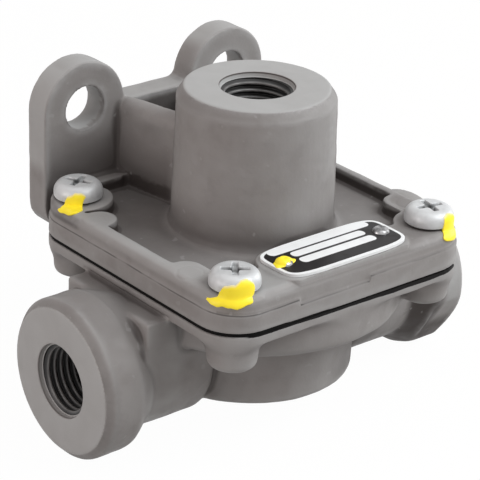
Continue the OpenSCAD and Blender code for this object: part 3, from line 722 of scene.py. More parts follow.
def cover_relief(points, normal):
    """Cast waviness of the cover, with the ejector rings on the rim."""
    z = points[:, 2]
    lift = cast_waves(points, (9.0, 3.0), (3, 4)) * band(z, (0.6, 1.6), (BOSS_TOP - 0.8, BOSS_TOP - 2.0))
    on_rim = (normal[:, 2] > 0.7) & (z > 7.5) & (z < 9.2)
    for centre in ((-31.6, -17.6), (-32.4, 15.9), (31.6, -17.6), (32.4, 15.9)):
        lift = lift + ring_mark(points, centre, 2.9, 0.35, 0.10) * on_rim
    return lift


def body_relief(points, normal):
    """Cast waviness of the body, off its machined faces."""
    lift = cast_waves(points, (10.0, 3.2), (5, 6)) * smooth_step(-0.6, -1.6, points[:, 2])
    return lift * smooth_step(PORT_REACH - 0.8, PORT_REACH - 2.0, np.abs(points[:, 0]))


def thread_sleeve(opening):
    """A threaded wall: the radius falls by the tooth height as a trapezoid wave of depth and turn, so that the ridges
    climb one pitch a turn, and fades out at both ends. The outside lies just in the bore's wall. It also gives two
    measures of painted light: a painted highlight that grows along the flank that faces the mouth and drops behind the
    crest, and painted light that fades deeper in the bore."""
    trim = bpy.context.scene.valve_trim
    pitch, tooth = trim.pitch / MM, trim.thread_depth / MM
    top, bottom = -trim.mouth_depth / MM - 0.1, -opening["depth"]
    angle = np.linspace(0, 2 * np.pi, 96, endpoint=False)[None, :]
    depth = np.linspace(top, bottom, int((top - bottom) / pitch * 14))[:, None]
    turn = (depth / pitch - angle / (2 * np.pi) + 0.05) % 1.0
    wave = np.clip((1 - np.abs(2 * turn - 1)) * 1.6 - 0.2, 0, 1)
    fade = smooth_step(top, top - 0.3, depth) * smooth_step(bottom, bottom + 0.5, depth)
    inner = opening["radius"] - 0.02 - tooth * wave * fade
    outer = np.full((1, angle.size), opening["radius"] + 0.04)
    radius = np.concatenate([outer, inner, outer])
    height = np.concatenate([[[top]], depth, [[bottom]]])
    points = np.stack(np.broadcast_arrays(radius * np.cos(angle), radius * np.sin(angle), height), -1)
    quads = grid_faces(*radius.shape, wrap_rows=True, wrap_columns=True)
    # Painted light: a highlight along the flank that faces the mouth, and light that fades deeper into the bore.
    crest = np.pad(smooth_step(0.94, 0.43, turn) * (turn > 0.38) * fade, ((1, 1), (0, 0)))
    lit = smooth_step(-opening["depth"] * 0.8, -3.5, height) * np.ones_like(crest)
    return along_axis(points.reshape(-1, 3), opening["mouth"], opening["axis"]), quads, crest, lit


def head_profile(trim):
    """Half outline of a pan head from the middle of its top to its seat: flat top, round crown, short side."""
    radius, height = trim.head_radius / MM, trim.head_height / MM
    crown = np.linspace(np.pi / 2, 0, 14)
    side = 0.4 * height
    arc = np.stack([radius * (0.6 + 0.4 * np.cos(crown)), side + (height - side) * np.sin(crown)], 1)
    flat = np.stack([np.linspace(0, 0.6 * radius, 40, endpoint=False), np.full(40, height)], 1)
    foot = np.array([[radius, 0.55 * side], [radius * 0.99, 0.58], [radius * 0.955, 0.5]])
    return np.concatenate([flat, arc, foot])


def cross_recess(x, y, span, width, depth):
    """Depth of a cross recess: two arms with steep sides whose floor rises towards their ends."""
    def arm(u, v):
        side = smooth_step(-0.14, 0.14, width / 2 - np.abs(v) + 0.12 * (1 - 2 * np.abs(u) / span))
        return side * smooth_step(-0.18, 0.18, span / 2 - np.abs(u))
    reach = np.clip(2 * np.hypot(x, y) / span, 0, 1)
    core = smooth_step(1.35, 0.75, np.hypot(x, y))
    return np.maximum(np.maximum(arm(x, y), arm(y, x)) * depth * (1 - 0.5 * reach), core * depth)


def pan_screw(trim, turn):
    """A pan head screw: its profile carried round its axis, with the cross recess sunk into the top, and a measure of
    painted shade on the recess walls and under the head.
    """
    shank, length = 3.0, SCREWS_HIGH[2] - SCREWS_LOW[2] - trim.head_height / MM
    head = head_profile(trim)
    neck = 0.8 * trim.head_radius / MM
    below = np.array([[neck, 0.5], [neck, 0], [shank, 0], [shank, -length + 0.8], [shank - 0.7, -length], [0, -length]])
    steps, span, width, depth = 160, 6.0, 1.15, 1.5
    points, quads = turned(np.concatenate([head, below]), steps)
    row = np.repeat(np.arange(len(head) + len(below)), steps)
    sunk = np.where(row < len(head), cross_recess(points[:, 0], points[:, 1], span, width, depth), 0)
    points[:, 2] -= sunk
    share = sunk / depth
    core = smooth_step(2.1, 1.0, np.hypot(points[:, 0], points[:, 1]))
    # Painted shade on the walls of the recess, and a painted black shadow in the gap under the head.
    grime = 3.6 * share * (1 - share) * (0.3 + 0.7 * core) + 0.1 * share
    grime = np.where(row > len(head) - 2, 1.0, np.minimum(grime, 0.95))
    c, s = math.cos(turn), math.sin(turn)
    return points @ np.array([[c, s, 0], [-s, c, 0], [0, 0, 1]]), quads, grime


def screw_places():
    """Where the screws stand on the rim, by name."""
    trim = bpy.context.scene.valve_trim
    reach = SCREWS_HIGH[0] - trim.head_radius / MM
    seat = SCREWS_HIGH[2] - trim.head_height / MM
    return {"left": (-reach, reach, seat), "front": (-reach, -reach, seat),
            "right": (reach, -reach, seat), "rear": (reach, reach, seat)}


TOWARDS_CAMERA = math.radians(-130.3)
SCREW_TURNS = {"left": -22, "front": 2, "right": 28, "rear": 14}
PAINT_DABS = {
    "front": {"angle": (-55, -48, -43, -36.4, -31.9, -22.6, -13.5, 1, 6.7, 15.6, 29.9, 34, 37, 39.8, 46, 49.5),
              "start": (10.2, 9.9, 9.4, 8.67, 7.6, 6.43, 6.14, 5.85, 5.38, 4.72, 4.63, 4.75, 4.9, 5.1, 5.85, 7.2),
              "stop": (10.5, 10.7, 10.9, 11.05, 11.1, 10.7, 10.4, 10.7, 10.85, 10.45, 10.15, 10.0, 9.8, 8.6, 8.5, 7.4)},
    "left": {"angle": (-36, -31, -28, -26.7, -20.9, -12, -4.6, 2.9, 9.1, 11.8, 14.1, 17.7, 22.5),
             "start": (10.2, 9.8, 8.5, 7.48, 6.43, 5.9, 5.57, 5.45, 5.45, 5.5, 5.6, 5.8, 6.2),
             "stop": (10.5, 10.8, 10.95, 11.0, 11.3, 11.9, 12.37, 12.05, 11.2, 10.8, 8.27, 7.15, 6.4)},
    "right": {"angle": (25, 27.5, 30, 32, 34.3, 42.6, 47, 57.8, 62, 67.4, 74.1, 80),
              "start": (10.3, 9.8, 9.0, 7.5, 5.47, 4.91, 4.8, 4.91, 5.1, 5.3, 5.76, 7.4),
              "stop": (10.6, 10.85, 11.0, 11.15, 11.2, 11.25, 11.29, 11.05, 10.9, 10.2, 9.2, 7.7)},
}


def head_ways(trim, place, turn, steps=0.05):
    """The ways from a screw's middle over its head and out over the rim and its round edge, one for each angle:
    arc lengths, and rows of radius and height with soft corners."""
    head = head_profile(trim)[:-2]
    radius, bend = trim.head_radius / MM, bpy.context.scene.valve_cast.rim_round / MM
    line = np.concatenate([head, [[radius, 0.0]]])
    length = np.concatenate([[0], np.cumsum(np.linalg.norm(np.diff(line, axis=0), axis=1))])
    even = np.arange(0, length[-1] + 6.0, steps)
    reach = np.arange(radius - 2.0, 18.0, 0.02)[None, :]
    out = flange_distance(place[0] + reach * np.cos(turn), place[1] + reach * np.sin(turn)) > 0
    edge = reach[0, np.argmax(out, 1)][:, None]
    first = np.arcsin(np.clip((radius - edge + bend) / bend, 0, 1))
    flat = np.maximum(edge - bend - radius, 0)
    past = np.maximum(even[None, :] - length[-1], 0)
    lean = np.clip(first + (past - flat) / bend, first, np.pi / 2)
    drop = np.maximum(past - flat - (np.pi / 2 - first) * bend, 0)
    rim_r = np.where(past < flat, radius + past, edge - bend + bend * np.sin(lean))
    rim_z = np.where(past < flat, 0, bend * (np.cos(lean) - 1) - drop)
    on_head = even[None, :] <= length[-1]
    way_r = np.where(on_head, np.interp(even, length, line[:, 0])[None, :], rim_r)
    way_z = np.where(on_head, np.interp(even, length, line[:, 1])[None, :], rim_z)
    bell = np.exp(-0.5 * (np.arange(-12, 13) / 4.0) ** 2)
    bell /= bell.sum()
    soft = []
    for way in (way_r, way_z):
        wide = np.pad(way, ((0, 0), (12, 12)), mode="reflect", reflect_type="odd")
        soft.append(sum(part * wide[:, k:k + even.size] for k, part in enumerate(bell)))
    return even, soft[0], soft[1]


def pick(values, even, place):
    """Values of even rows at places along them, mixed straight between neighbours, row by row."""
    spot = np.clip(place / (even[1] - even[0]), 0, even.size - 1.001)
    low = spot.astype(int)
    part = spot - low
    return np.take_along_axis(values, low, 1) * (1 - part) + np.take_along_axis(values, low + 1, 1) * part


def paint_dab(trim, dab, place, seed):
    """A lacquer dab on a screw head and the rim: for each angle it runs along the way over the head from its
    start to its stop, and its thickness is a flat hump across and along. Both ends close to a point."""
    angle = np.linspace(dab["angle"][0], dab["angle"][-1], 96)
    turn = np.radians(angle)[:, None] + TOWARDS_CAMERA
    even, way_r, way_z = head_ways(trim, place, turn)
    tilt_r, tilt_z = np.gradient(way_r, even, axis=1), np.gradient(way_z, even, axis=1)
    size = np.maximum(np.hypot(tilt_r, tilt_z), 1e-6)
    ripple = np.stack([angle * 0.1, np.zeros_like(angle), np.zeros_like(angle)], 1)
    start = np.interp(angle, dab["angle"], dab["start"]) + 0.06 * waves(ripple, 1.6, seed)
    stop = np.interp(angle, dab["angle"], dab["stop"]) + 0.08 * waves(ripple, 1.6, seed + 1)
    across = np.linspace(0, 1, 44)
    spot = start[:, None] + np.maximum(stop - start, 0.05)[:, None] * across
    ends = (1 - np.linspace(-1, 1, angle.size) ** 8)[:, None]
    hump = np.sqrt(np.clip(1 - (2 * across - 1) ** 6, 0, 1))[None, :] * np.sqrt(ends)
    radius, height = pick(way_r, even, spot), pick(way_z, even, spot)
    out_r, out_z = pick(-tilt_z / size, even, spot), pick(tilt_r / size, even, spot)
    thick = hump * trim.paint_thickness / MM
    bury = -0.3
    loop_r = np.concatenate([radius + out_r * thick, (radius + out_r * bury)[:, ::-1]], 1)
    loop_z = np.concatenate([height + out_z * thick, (height + out_z * bury)[:, ::-1]], 1)
    points = np.stack([loop_r * np.cos(turn), loop_r * np.sin(turn), loop_z], -1)
    points[0], points[-1] = points[0].mean(0), points[-1].mean(0)
    length = np.maximum(stop - start, 0.05)[:, None] * across
    thin = smooth_step(0.75, 0.0, length) * smooth_step(6.8, 6.0, start)[:, None]
    thin = np.concatenate([thin, thin[:, ::-1]], 1)
    return points.reshape(-1, 3), grid_faces(angle.size, loop_r.shape[1], wrap_columns=True), thin


def rivet_dome(share):
    """Height of a rivet head at a share of its radius: a flat dome with a small dimple, in head heights."""
    return np.sqrt(np.clip(1 - share ** 2.4, 0, 1)) - 0.22 * np.exp(-(share / 0.32) ** 2)


def rivet_smear(radius, height):
    """A lacquer smear over a rivet and the plate beside it: a cap whose edge radius changes with the angle and
    whose height is the rivet's dome or the plate, plus the thickness of the coat."""
    turn = np.linspace(0, 2 * np.pi, 72, endpoint=False)
    spread = 2.15 + 0.75 * np.cos(2 * (turn - math.radians(10))) + 0.22 * np.cos(5 * turn + 1) + 0.12 * np.cos(9 * turn)
    share = np.linspace(0, 1, 24)[:, None]
    away = spread[None, :] * share
    film = 0.24 * np.sqrt(np.clip(1 - share ** 6, 0, 1))
    top = height * rivet_dome(np.clip(away / radius, 0, 1)) + film
    low = top * 0 - 0.1
    away = np.concatenate([away, away[::-1]])
    level = np.concatenate([top, low[::-1]])
    points = np.stack([away * np.cos(turn), away * np.sin(turn), level], -1)
    return points.reshape(-1, 3), grid_faces(len(away), turn.size, wrap_columns=True)


def plate_sheet():
    """The nameplate: an outline |x/a|^n + |y/b|^n = 1 whose rings step inwards, first round the thin edge, then by
    a fixed border and at last towards the middle line."""
    half = (PLATE_HIGH - PLATE_LOW) / 2
    turn = np.linspace(0, 2 * np.pi, 240, endpoint=False)
    power = 2 / 5.0
    outline = np.stack([(half[0] - 0.4) * np.sign(np.cos(turn)) * np.abs(np.cos(turn)) ** power,
                        half[1] * np.sign(np.sin(turn)) * np.abs(np.sin(turn)) ** power], 1)
    ahead = np.roll(outline, -1, 0) - np.roll(outline, 1, 0)
    inwards = np.stack([-ahead[:, 1], ahead[:, 0]], 1) / np.linalg.norm(ahead, axis=1)[:, None]
    inset = np.array([0.0, 0.0, 0.06, 0.4, 0.78, 0.82])
    height = np.array([PLATE_LOW[2], PLATE_TOP - 0.06, PLATE_TOP, PLATE_TOP, PLATE_TOP, PLATE_TOP])
    rings = outline[None] + inwards[None] * inset[:, None, None]
    share = np.linspace(0.97, 0.0, 14)
    rings = np.concatenate([[outline * 0], rings, rings[-1] * share[:, None, None]])
    height = np.concatenate([[PLATE_LOW[2]], height, np.full(share.size, PLATE_TOP)])
    border = np.concatenate([np.ones(6), np.zeros(share.size + 1)])
    flat = np.broadcast_to(height[:, None, None], (*rings.shape[:2], 1))
    points = np.concatenate([rings + PLATE_MID[:2], flat], 2).reshape(-1, 3)
    return points, grid_faces(*rings.shape[:2], wrap_columns=True), np.repeat(border, turn.size)


def coil(radius, wire, low, high, turns, steps=48, sides=12):
    """A spring: a round wire carried along a helix whose pitch falls to one wire at both ends."""
    count = turns * steps
    share = np.linspace(0, turns, count + 1)
    rate = smooth_step(0.2, 1.2, share) * smooth_step(turns - 0.2, turns - 1.2, share) + 0.12
    climb = np.concatenate([[0], np.cumsum((rate[1:] + rate[:-1]) / 2)])
    middle = low + wire + (high - low - 2 * wire) * climb / climb[-1]
    turn = 2 * np.pi * share
    side = np.linspace(0, 2 * np.pi, sides, endpoint=False)[None, :]
    size = np.full((count + 1, 1), wire)
    size[[0, -1]] = 0
    size[[1, -2]] = wire * 0.92
    away = radius + size * np.cos(side)
    points = np.stack([away * np.cos(turn)[:, None], away * np.sin(turn)[:, None],
                       middle[:, None] + size * np.sin(side)], -1)
    return points.reshape(-1, 3), grid_faces(count + 1, sides, wrap_columns=True)


# Blacks for painted shadow: the shadow line at the seams, the shade between thread crests and the shade in the screw
# recesses.
SEAM_SHADOW_BLACK, THREAD_SHADE_BLACK, RECESS_SHADE_BLACK = (0.006, 0.005, 0.005, 1), (0.012, 0.011, 0.011, 1), (0.012, 0.012, 0.012, 1)
INK, WORN_INK = (0.012, 0.011, 0.012, 1), (0.022, 0.02, 0.02, 1)


def fill(tree, made, values):
    """Sets a node's inputs, by name or place: values are numbers, or sockets to link."""
    for name, value in values.items():
        if isinstance(value, bpy.types.NodeSocket):
            tree.links.new(value, made.inputs[name])
        else:
            made.inputs[name].default_value = value
    return made


def add(tree, kind, values=None, **settings):
    """A shader node with its settings and inputs."""
    made = tree.nodes.new(kind)
    for name, value in settings.items():
        setattr(made, name, value)
    return fill(tree, made, values or {})


def measure(tree, name):
    """A measure that the points of the mesh keep."""
    return add(tree, "ShaderNodeAttribute", attribute_name=name).outputs["Fac"]


def mix(tree, factor, a, b):
    """A colour between two colours."""
    return add(tree, "ShaderNodeMix", {0: factor, 6: a, 7: b}, data_type="RGBA").outputs[2]


def maths(tree, operation, *values):
    """The result of a maths node."""
    return add(tree, "ShaderNodeMath", dict(enumerate(values)), operation=operation).outputs[0]


def times(tree, a, b):
    """The product of two values."""
    return maths(tree, "MULTIPLY", a, b)


def ramp(tree, value, low, high, to_low=0.0, to_high=1.0):
    """A value spread smoothly from one range to another."""
    names = {"Value": value, "From Min": low, "From Max": high, "To Min": to_low, "To Max": to_high}
    return add(tree, "ShaderNodeMapRange", names, interpolation_type="SMOOTHSTEP").outputs[0]


def noise(tree, position, size, detail=3.0):
    """Noise whose blotches are about a size in metres."""
    values = {"Vector": position, "Scale": 1.0 / size, "Detail": detail}
    return add(tree, "ShaderNodeTexNoise", values).outputs[0]


def group(name, inputs, outputs):
    """An empty shader group with named sockets; gives the tree, its inputs and its output node."""
    kinds = {"vector": "NodeSocketVector", "value": "NodeSocketFloat", "colour": "NodeSocketColor"}
    tree = bpy.data.node_groups.new(name, "ShaderNodeTree")
    for label, kind in inputs.items():
        tree.interface.new_socket(name=label, in_out="INPUT", socket_type=kinds[kind])
    for label, kind in outputs.items():
        tree.interface.new_socket(name=label, in_out="OUTPUT", socket_type=kinds[kind])
    return tree, tree.nodes.new("NodeGroupInput").outputs, tree.nodes.new("NodeGroupOutput").inputs


def use(tree, name, values):
    """A placed shader group; gives its outputs."""
    made = tree.nodes.new("ShaderNodeGroup")
    made.node_tree = bpy.data.node_groups[name]
    return fill(tree, made, values).outputs


def cast_skin_group():
    """Cast skin: two greys in blotches, painted shade in hollows and creases and where the bare measure is below zero,
    worn edges, bare metal with painted light where the bare measure is above zero, and the painted shadow line of the
    seam.
    """
    tree, inside, out = group(
        "cast_skin",
        {"Position": "vector", "Edge": "value", "Hollow": "value", "Bare": "value", "Seam": "value",
         "Base": "colour", "Pale": "colour", "Metal": "colour", "Stain": "colour"},
        {"Colour": "colour", "Roughness": "value", "Height": "value"})
    blotch = noise(tree, inside["Position"], 0.016, 3)
    mottle = noise(tree, inside["Position"], 0.0042, 4)
    grain = noise(tree, inside["Position"], 0.0007, 2)
    nick = ramp(tree, noise(tree, inside["Position"], 0.0026, 1), 0.71, 0.76)
    colour = mix(tree, times(tree, ramp(tree, blotch, 0.36, 0.68), 0.45), inside["Base"], inside["Pale"])
    patchy = times(tree, ramp(tree, mottle, 0.5, 0.72), 0.07)
    # Painted shade in hollows and creases.
    deep = times(tree, ramp(tree, inside["Hollow"], 0.08, 0.65), 0.8)
    crevice = times(tree, ramp(tree, inside["Edge"], -0.12, -0.75), 0.7)
    # Painted shade where the bare measure is below zero.
    dull = times(tree, inside["Bare"], -1.0)
    stain_and_painted_shade = maths(tree, "MAXIMUM", maths(tree, "MAXIMUM", deep, crevice), maths(tree, "MAXIMUM", patchy, dull))
    colour = mix(tree, maths(tree, "MINIMUM", stain_and_painted_shade, 0.97), colour, inside["Stain"])
    worn = times(tree, ramp(tree, inside["Edge"], 0.12, 0.9), ramp(tree, mottle, 0.3, 0.6, 0.35, 1.0))
    colour = mix(tree, times(tree, worn, 0.75), colour, inside["Pale"])
    colour = mix(tree, times(tree, nick, 0.45), colour, inside["Pale"])
    metal = mix(tree, times(tree, ramp(tree, blotch, 0.4, 0.7), 0.25), inside["Metal"], inside["Pale"])
    # Bare metal, and painted light where the bare measure brightens shaded faces.
    colour = mix(tree, maths(tree, "MAXIMUM", inside["Bare"], 0.0), colour, metal)
    # The painted shadow line of the parting step and of the gap under the gasket.
    colour = mix(tree, times(tree, inside["Seam"], 0.97), colour, SEAM_SHADOW_BLACK)
    tree.links.new(colour, out["Colour"])
    tree.links.new(ramp(tree, mottle, 0.3, 0.7, 0.5, 0.66), out["Roughness"])
    rough = maths(tree, "MULTIPLY_ADD", grain, 0.55, times(tree, mottle, 0.6))
    smooth = times(tree, rough, ramp(tree, inside["Bare"], 0, 1, 1.0, 0.25))
    tree.links.new(maths(tree, "SUBTRACT", smooth, inside["Seam"]), out["Height"])


def seam_shadow_line_group():
    """Parting line: a painted shadow line along the parting step where the level is nought, wavering and worn away in
    places.
    """
    tree, inside, out = group("seam_line", {"Position": "vector", "Level": "value", "Width": "value",
                                            "Strength": "value"}, {"Mask": "value"})
    shake = noise(tree, inside["Position"], 0.012, 2)
    level = maths(tree, "MULTIPLY_ADD", shake, 0.4, inside["Level"])
    away = maths(tree, "ABSOLUTE", maths(tree, "SUBTRACT", level, 0.2))
    line = ramp(tree, maths(tree, "DIVIDE", away, inside["Width"]), 1.0, 0.4)
    worn = ramp(tree, noise(tree, inside["Position"], 0.009, 2), 0.36, 0.52, 0.25, 1.0)
    mask = times(tree, times(tree, line, inside["Strength"]), worn)
    tree.links.new(maths(tree, "MINIMUM", mask, 1.0), out["Mask"])


def fine_wear_group():
    """Fine spots that mix a base and a dull colour."""
    tree, inside, out = group(
        "fine_wear", {"Position": "vector", "Size": "value", "Base": "colour", "Dull": "colour"},
        {"Colour": "colour", "Mask": "value", "Height": "value"})
    scale = maths(tree, "DIVIDE", 1.0, inside["Size"])
    spots = add(tree, "ShaderNodeTexNoise", {"Vector": inside["Position"], "Scale": scale, "Detail": 4.0}).outputs[0]
    mask = ramp(tree, spots, 0.42, 0.7)
    tree.links.new(mix(tree, mask, inside["Base"], inside["Dull"]), out["Colour"])
    tree.links.new(mask, out["Mask"])
    tree.links.new(spots, out["Height"])


def printed_field_group():
    """A filled rectangle with round corners, seen in plan."""
    tree, inside, out = group(
        "printed_field",
        {"Position": "vector", "Centre": "vector", "Half length": "value", "Half width": "value", "Corner": "value"},
        {"Mask": "value"})
    away = add(tree, "ShaderNodeVectorMath", {0: inside["Position"], 1: inside["Centre"]}, operation="SUBTRACT")
    away = add(tree, "ShaderNodeVectorMath", {0: away.outputs[0]}, operation="ABSOLUTE")
    parts = add(tree, "ShaderNodeSeparateXYZ", {0: away.outputs[0]}).outputs
    past_x = maths(tree, "SUBTRACT", parts[0], maths(tree, "SUBTRACT", inside["Half length"], inside["Corner"]))
    past_y = maths(tree, "SUBTRACT", parts[1], maths(tree, "SUBTRACT", inside["Half width"], inside["Corner"]))
    out_x, out_y = maths(tree, "MAXIMUM", past_x, 0.0), maths(tree, "MAXIMUM", past_y, 0.0)
    outer = maths(tree, "SQRT", maths(tree, "MULTIPLY_ADD", out_x, out_x, times(tree, out_y, out_y)))
    inner = maths(tree, "MINIMUM", maths(tree, "MAXIMUM", past_x, past_y), 0.0)
    distance = maths(tree, "SUBTRACT", maths(tree, "ADD", outer, inner), inside["Corner"])
    tree.links.new(ramp(tree, distance, 0.05 * MM, -0.05 * MM), out["Mask"])


def build_groups():
    """The shader groups that several finishes share."""
    for build in (cast_skin_group, seam_shadow_line_group, fine_wear_group, printed_field_group):
        build()


def material(name, **constants):
    """A new material with a principled shader and its constant sockets; gives material, tree, shader and position."""
    made = bpy.data.materials.new(name)
    made.use_nodes = True
    tree = made.node_tree
    shader = next(node for node in tree.nodes if node.type == "BSDF_PRINCIPLED")
    for label, value in constants.items():
        shader.inputs[label.replace("_", " ")].default_value = value
    return made, tree, shader, tree.nodes.new("ShaderNodeTexCoord").outputs["Object"]


def coat(tree, shader, colour, spots, roughness):
    """Feeds a colour, and a roughness that changes with a mask of fine spots, into the shader."""
    tree.links.new(colour, shader.inputs["Base Color"])
    tree.links.new(ramp(tree, spots, 0, 1, *roughness), shader.inputs["Roughness"])


def bump(tree, shader, height, strength, distance):
    """Feeds a height into the shader's normal."""
    made = add(tree, "ShaderNodeBump", {"Strength": strength, "Distance": distance, "Height": height})
    tree.links.new(made.outputs[0], shader.inputs["Normal"])


def colour4(colour):
    """A colour with full alpha."""
    return (*colour, 1.0)


def fine_wear(tree, position, size, base, dull):
    """Fine spots between a base and a dull colour: gives their colour, mask and height."""
    return use(tree, "fine_wear", {"Position": position, "Size": size, "Base": colour4(base), "Dull": colour4(dull)})


def cast_material(name):
    """Blasted cast aluminium: mottled warm grey, paler on rubbed edges, with painted shade in the corners and where the
    skin turns edge-on to the view.
    """
    cast = bpy.context.scene.valve_cast
    made, tree, shader, position = material(name, Specular_IOR_Level=0.3)
    labels = {"Edge": "edge", "Hollow": "hollow", "Bare": "bare", "Level": "seam", "Strength": "line"}
    values = {label: measure(tree, kept) for label, kept in labels.items()}
    seam = use(tree, "seam_line", {"Position": position, "Level": values.pop("Level"), "Width": 0.2,
                                   "Strength": values.pop("Strength")})["Mask"]
    values.update(Position=position, Seam=seam, Base=colour4(cast.base), Pale=colour4(cast.pale),
                  Metal=colour4(cast.bare), Stain=colour4(cast.shade_and_stain))
    skin = use(tree, "cast_skin", values)
    facing_for_painted_shade = add(tree, "ShaderNodeLayerWeight").outputs["Facing"]
    # Painted shade: the skin darkens towards the stain colour where it turns edge-on to the view.
    colour = mix(tree, ramp(tree, facing_for_painted_shade, 0.8, 1.0, 0.0, 0.6), skin["Colour"], colour4(cast.shade_and_stain))
    tree.links.new(colour, shader.inputs["Base Color"])
    tree.links.new(skin["Roughness"], shader.inputs["Roughness"])
    # The painted shadow line is made metallic as well, so that it keeps no diffuse light.
    tree.links.new(ramp(tree, seam, 0.6, 1.0, 0.1, 1.0), shader.inputs["Metallic"])
    bump(tree, shader, skin["Height"], 0.5, 0.12 * MM)
    return made


def worn_material(name, base, dull, size, roughness, **constants):
    """A finish whose colour and gloss change in fine spots between a base and a dull colour."""
    made, tree, shader, position = material(name, **constants)
    wear = fine_wear(tree, position, size, base, dull)
    coat(tree, shader, wear["Colour"], wear["Mask"], roughness)
    bump(tree, shader, wear["Height"], 0.2, 0.05 * MM)
    return made


PLATE_FIELDS = (
    {"centre": (0.0, 4.98), "half": (14.25, 1.32), "corner": 1.2},
    {"centre": (0.2, 1.87), "half": (10.4, 1.2), "corner": 1.1},
    {"centre": (0.25, -1.35), "half": (10.65, 1.28), "corner": 1.1},
)


def plate_material(name):
    """Printed plate: a white rim round a black field with plain pale bars for written details."""
    made, tree, shader, position = material(name, Specular_IOR_Level=0.15)

    def field(centre, half, corner):
        place = (PLATE_MID[:2] + np.array(centre)) * MM + VALVE[:2]
        return use(tree, "printed_field", {
            "Position": position, "Centre": (*place, 0.0), "Half length": half[0] * MM,
            "Half width": half[1] * MM, "Corner": corner * MM})["Mask"]

    wear = fine_wear(tree, position, 0.0035, (0.86, 0.89, 0.90), (0.82, 0.84, 0.85))
    dark = mix(tree, wear["Mask"], INK, WORN_INK)
    colour = mix(tree, measure(tree, "border"), dark, wear["Colour"])
    for bar in PLATE_FIELDS:
        colour = mix(tree, field(**bar), colour, wear["Colour"])
    coat(tree, shader, colour, wear["Mask"], (0.32, 0.5))
    return made


def zinc_finish(name):
    """Zinc plated steel, pale and slightly stained, with painted shade on the walls of the recess and under the head.
    """
    zinc = bpy.context.scene.valve_trim.zinc
    made, tree, shader, position = material(name, Metallic=0.2)
    wear = fine_wear(tree, position, 0.004, zinc, [part * 0.8 for part in zinc])
    colour = mix(tree, measure(tree, "grime"), wear["Colour"], RECESS_SHADE_BLACK)
    coat(tree, shader, colour, wear["Mask"], (0.42, 0.55))
    return made


def thread_finish(name):
    """Cut threads: a painted highlight on the crests and the flanks that face the mouth, painted shade between them and
    deeper in the bore.
    """
    made, tree, shader, position = material(name, Metallic=0.3)
    wear = fine_wear(tree, position, 0.003, (0.25, 0.246, 0.243), (0.18, 0.176, 0.173))
    # Painted highlight and shade on the thread.
    share = times(tree, ramp(tree, measure(tree, "crest"), 0.1, 1.0), measure(tree, "lit"))
    coat(tree, shader, mix(tree, share, THREAD_SHADE_BLACK, wear["Colour"]), wear["Mask"], (0.42, 0.55))
    return made


def lacquer_finish(name):
    """Yellow marking lacquer with a painted glow from a small emission, which lets the zinc show where it is thin."""
    trim = bpy.context.scene.valve_trim
    # The emission is a painted glow: the lacquer lights itself a little.
    made, tree, shader, position = material(name, Emission_Strength=0.14, Specular_IOR_Level=0.35)
    wear = fine_wear(tree, position, 0.0024, trim.lacquer, [part * 0.94 for part in trim.lacquer])
    colour = mix(tree, times(tree, measure(tree, "thin"), 0.6), wear["Colour"], colour4(trim.zinc))
    tree.links.new(colour, shader.inputs["Emission Color"])
    coat(tree, shader, colour, wear["Mask"], (0.34, 0.46))
    bump(tree, shader, wear["Height"], 0.12, 0.05 * MM)
    return made


FINISHES = {"cast_aluminium_skin": cast_material, "thread_metal": thread_finish, "zinc_screws": zinc_finish,
            "lacquer_yellow": lacquer_finish, "plate_print": plate_material}
WORN_FINISHES = {
    "gasket_rubber": {"base": (0.004, 0.004, 0.004), "dull": (0.010, 0.009, 0.009), "size": 0.0015,
                      "roughness": (0.75, 0.9), "Specular_IOR_Level": 0.1},
    "rivet_metal": {"base": (0.46, 0.46, 0.47), "dull": (0.12, 0.12, 0.12), "size": 0.0016,
                    "roughness": (0.22, 0.42), "Metallic": 0.7},
    "seat_brass_turned": {"base": (0.60, 0.43, 0.17), "dull": (0.42, 0.29, 0.11), "size": 0.002,
                          "roughness": (0.28, 0.45), "Metallic": 0.9},
    "spring_wire": {"base": (0.36, 0.36, 0.38), "dull": (0.22, 0.22, 0.23), "size": 0.0016,
                    "roughness": (0.28, 0.42), "Metallic": 0.9},
}


def finish(name):
    """A finish by name, made once."""
    made = bpy.data.materials.get(name)
    if made is None:
        made = worn_material(name, **WORN_FINISHES[name]) if name in WORN_FINISHES else FINISHES[name](name)
    return made


class VALVE_OT_cover(bpy.types.Operator):
    """Makes the cover casting with its boss, ears, webs and rim"""

    bl_idname = "valve.cover"
    bl_label = "Cover casting"

    def execute(self, context):
        made = casting("cover_casting", "cover", [port("supply_port")], cover_shape, cover_rounding,
                       cover_relief, cover_bare_light_and_shade, cover_seam)
        finished(made, finish("cast_aluminium_skin"), "housing", "cast_aluminium", "cover")
        return {"FINISHED"}


class VALVE_OT_body(bpy.types.Operator):
    """Makes the body casting with its delivery ports, lugs and bowl"""

    bl_idname = "valve.body"
    bl_label = "Body casting"

    def execute(self, context):
        names = ("delivery_port_left", "delivery_port_right", "exhaust_port")
        made = casting("body_casting", "body", [port(name) for name in names], body_shape, body_rounding,
                       body_relief, body_bare_light_and_shade, gasket_shade)
        finished(made, finish("cast_aluminium_skin"), "housing", "cast_aluminium", "body")
        return {"FINISHED"}


class VALVE_OT_threads(bpy.types.Operator):
    """Cuts the threads of the four ports"""

    bl_idname = "valve.threads"
    bl_label = "Port threads"

    def execute(self, context):
        for name in ("supply_port", "delivery_port_left", "delivery_port_right", "exhaust_port"):
            points, quads, crest, lit = thread_sleeve(port(name))
            numpy_piece(name + "_thread", (points, quads), finish("thread_metal"), "housing", "cast_aluminium",
                        angle=60, crest=crest, lit=lit)
        return {"FINISHED"}


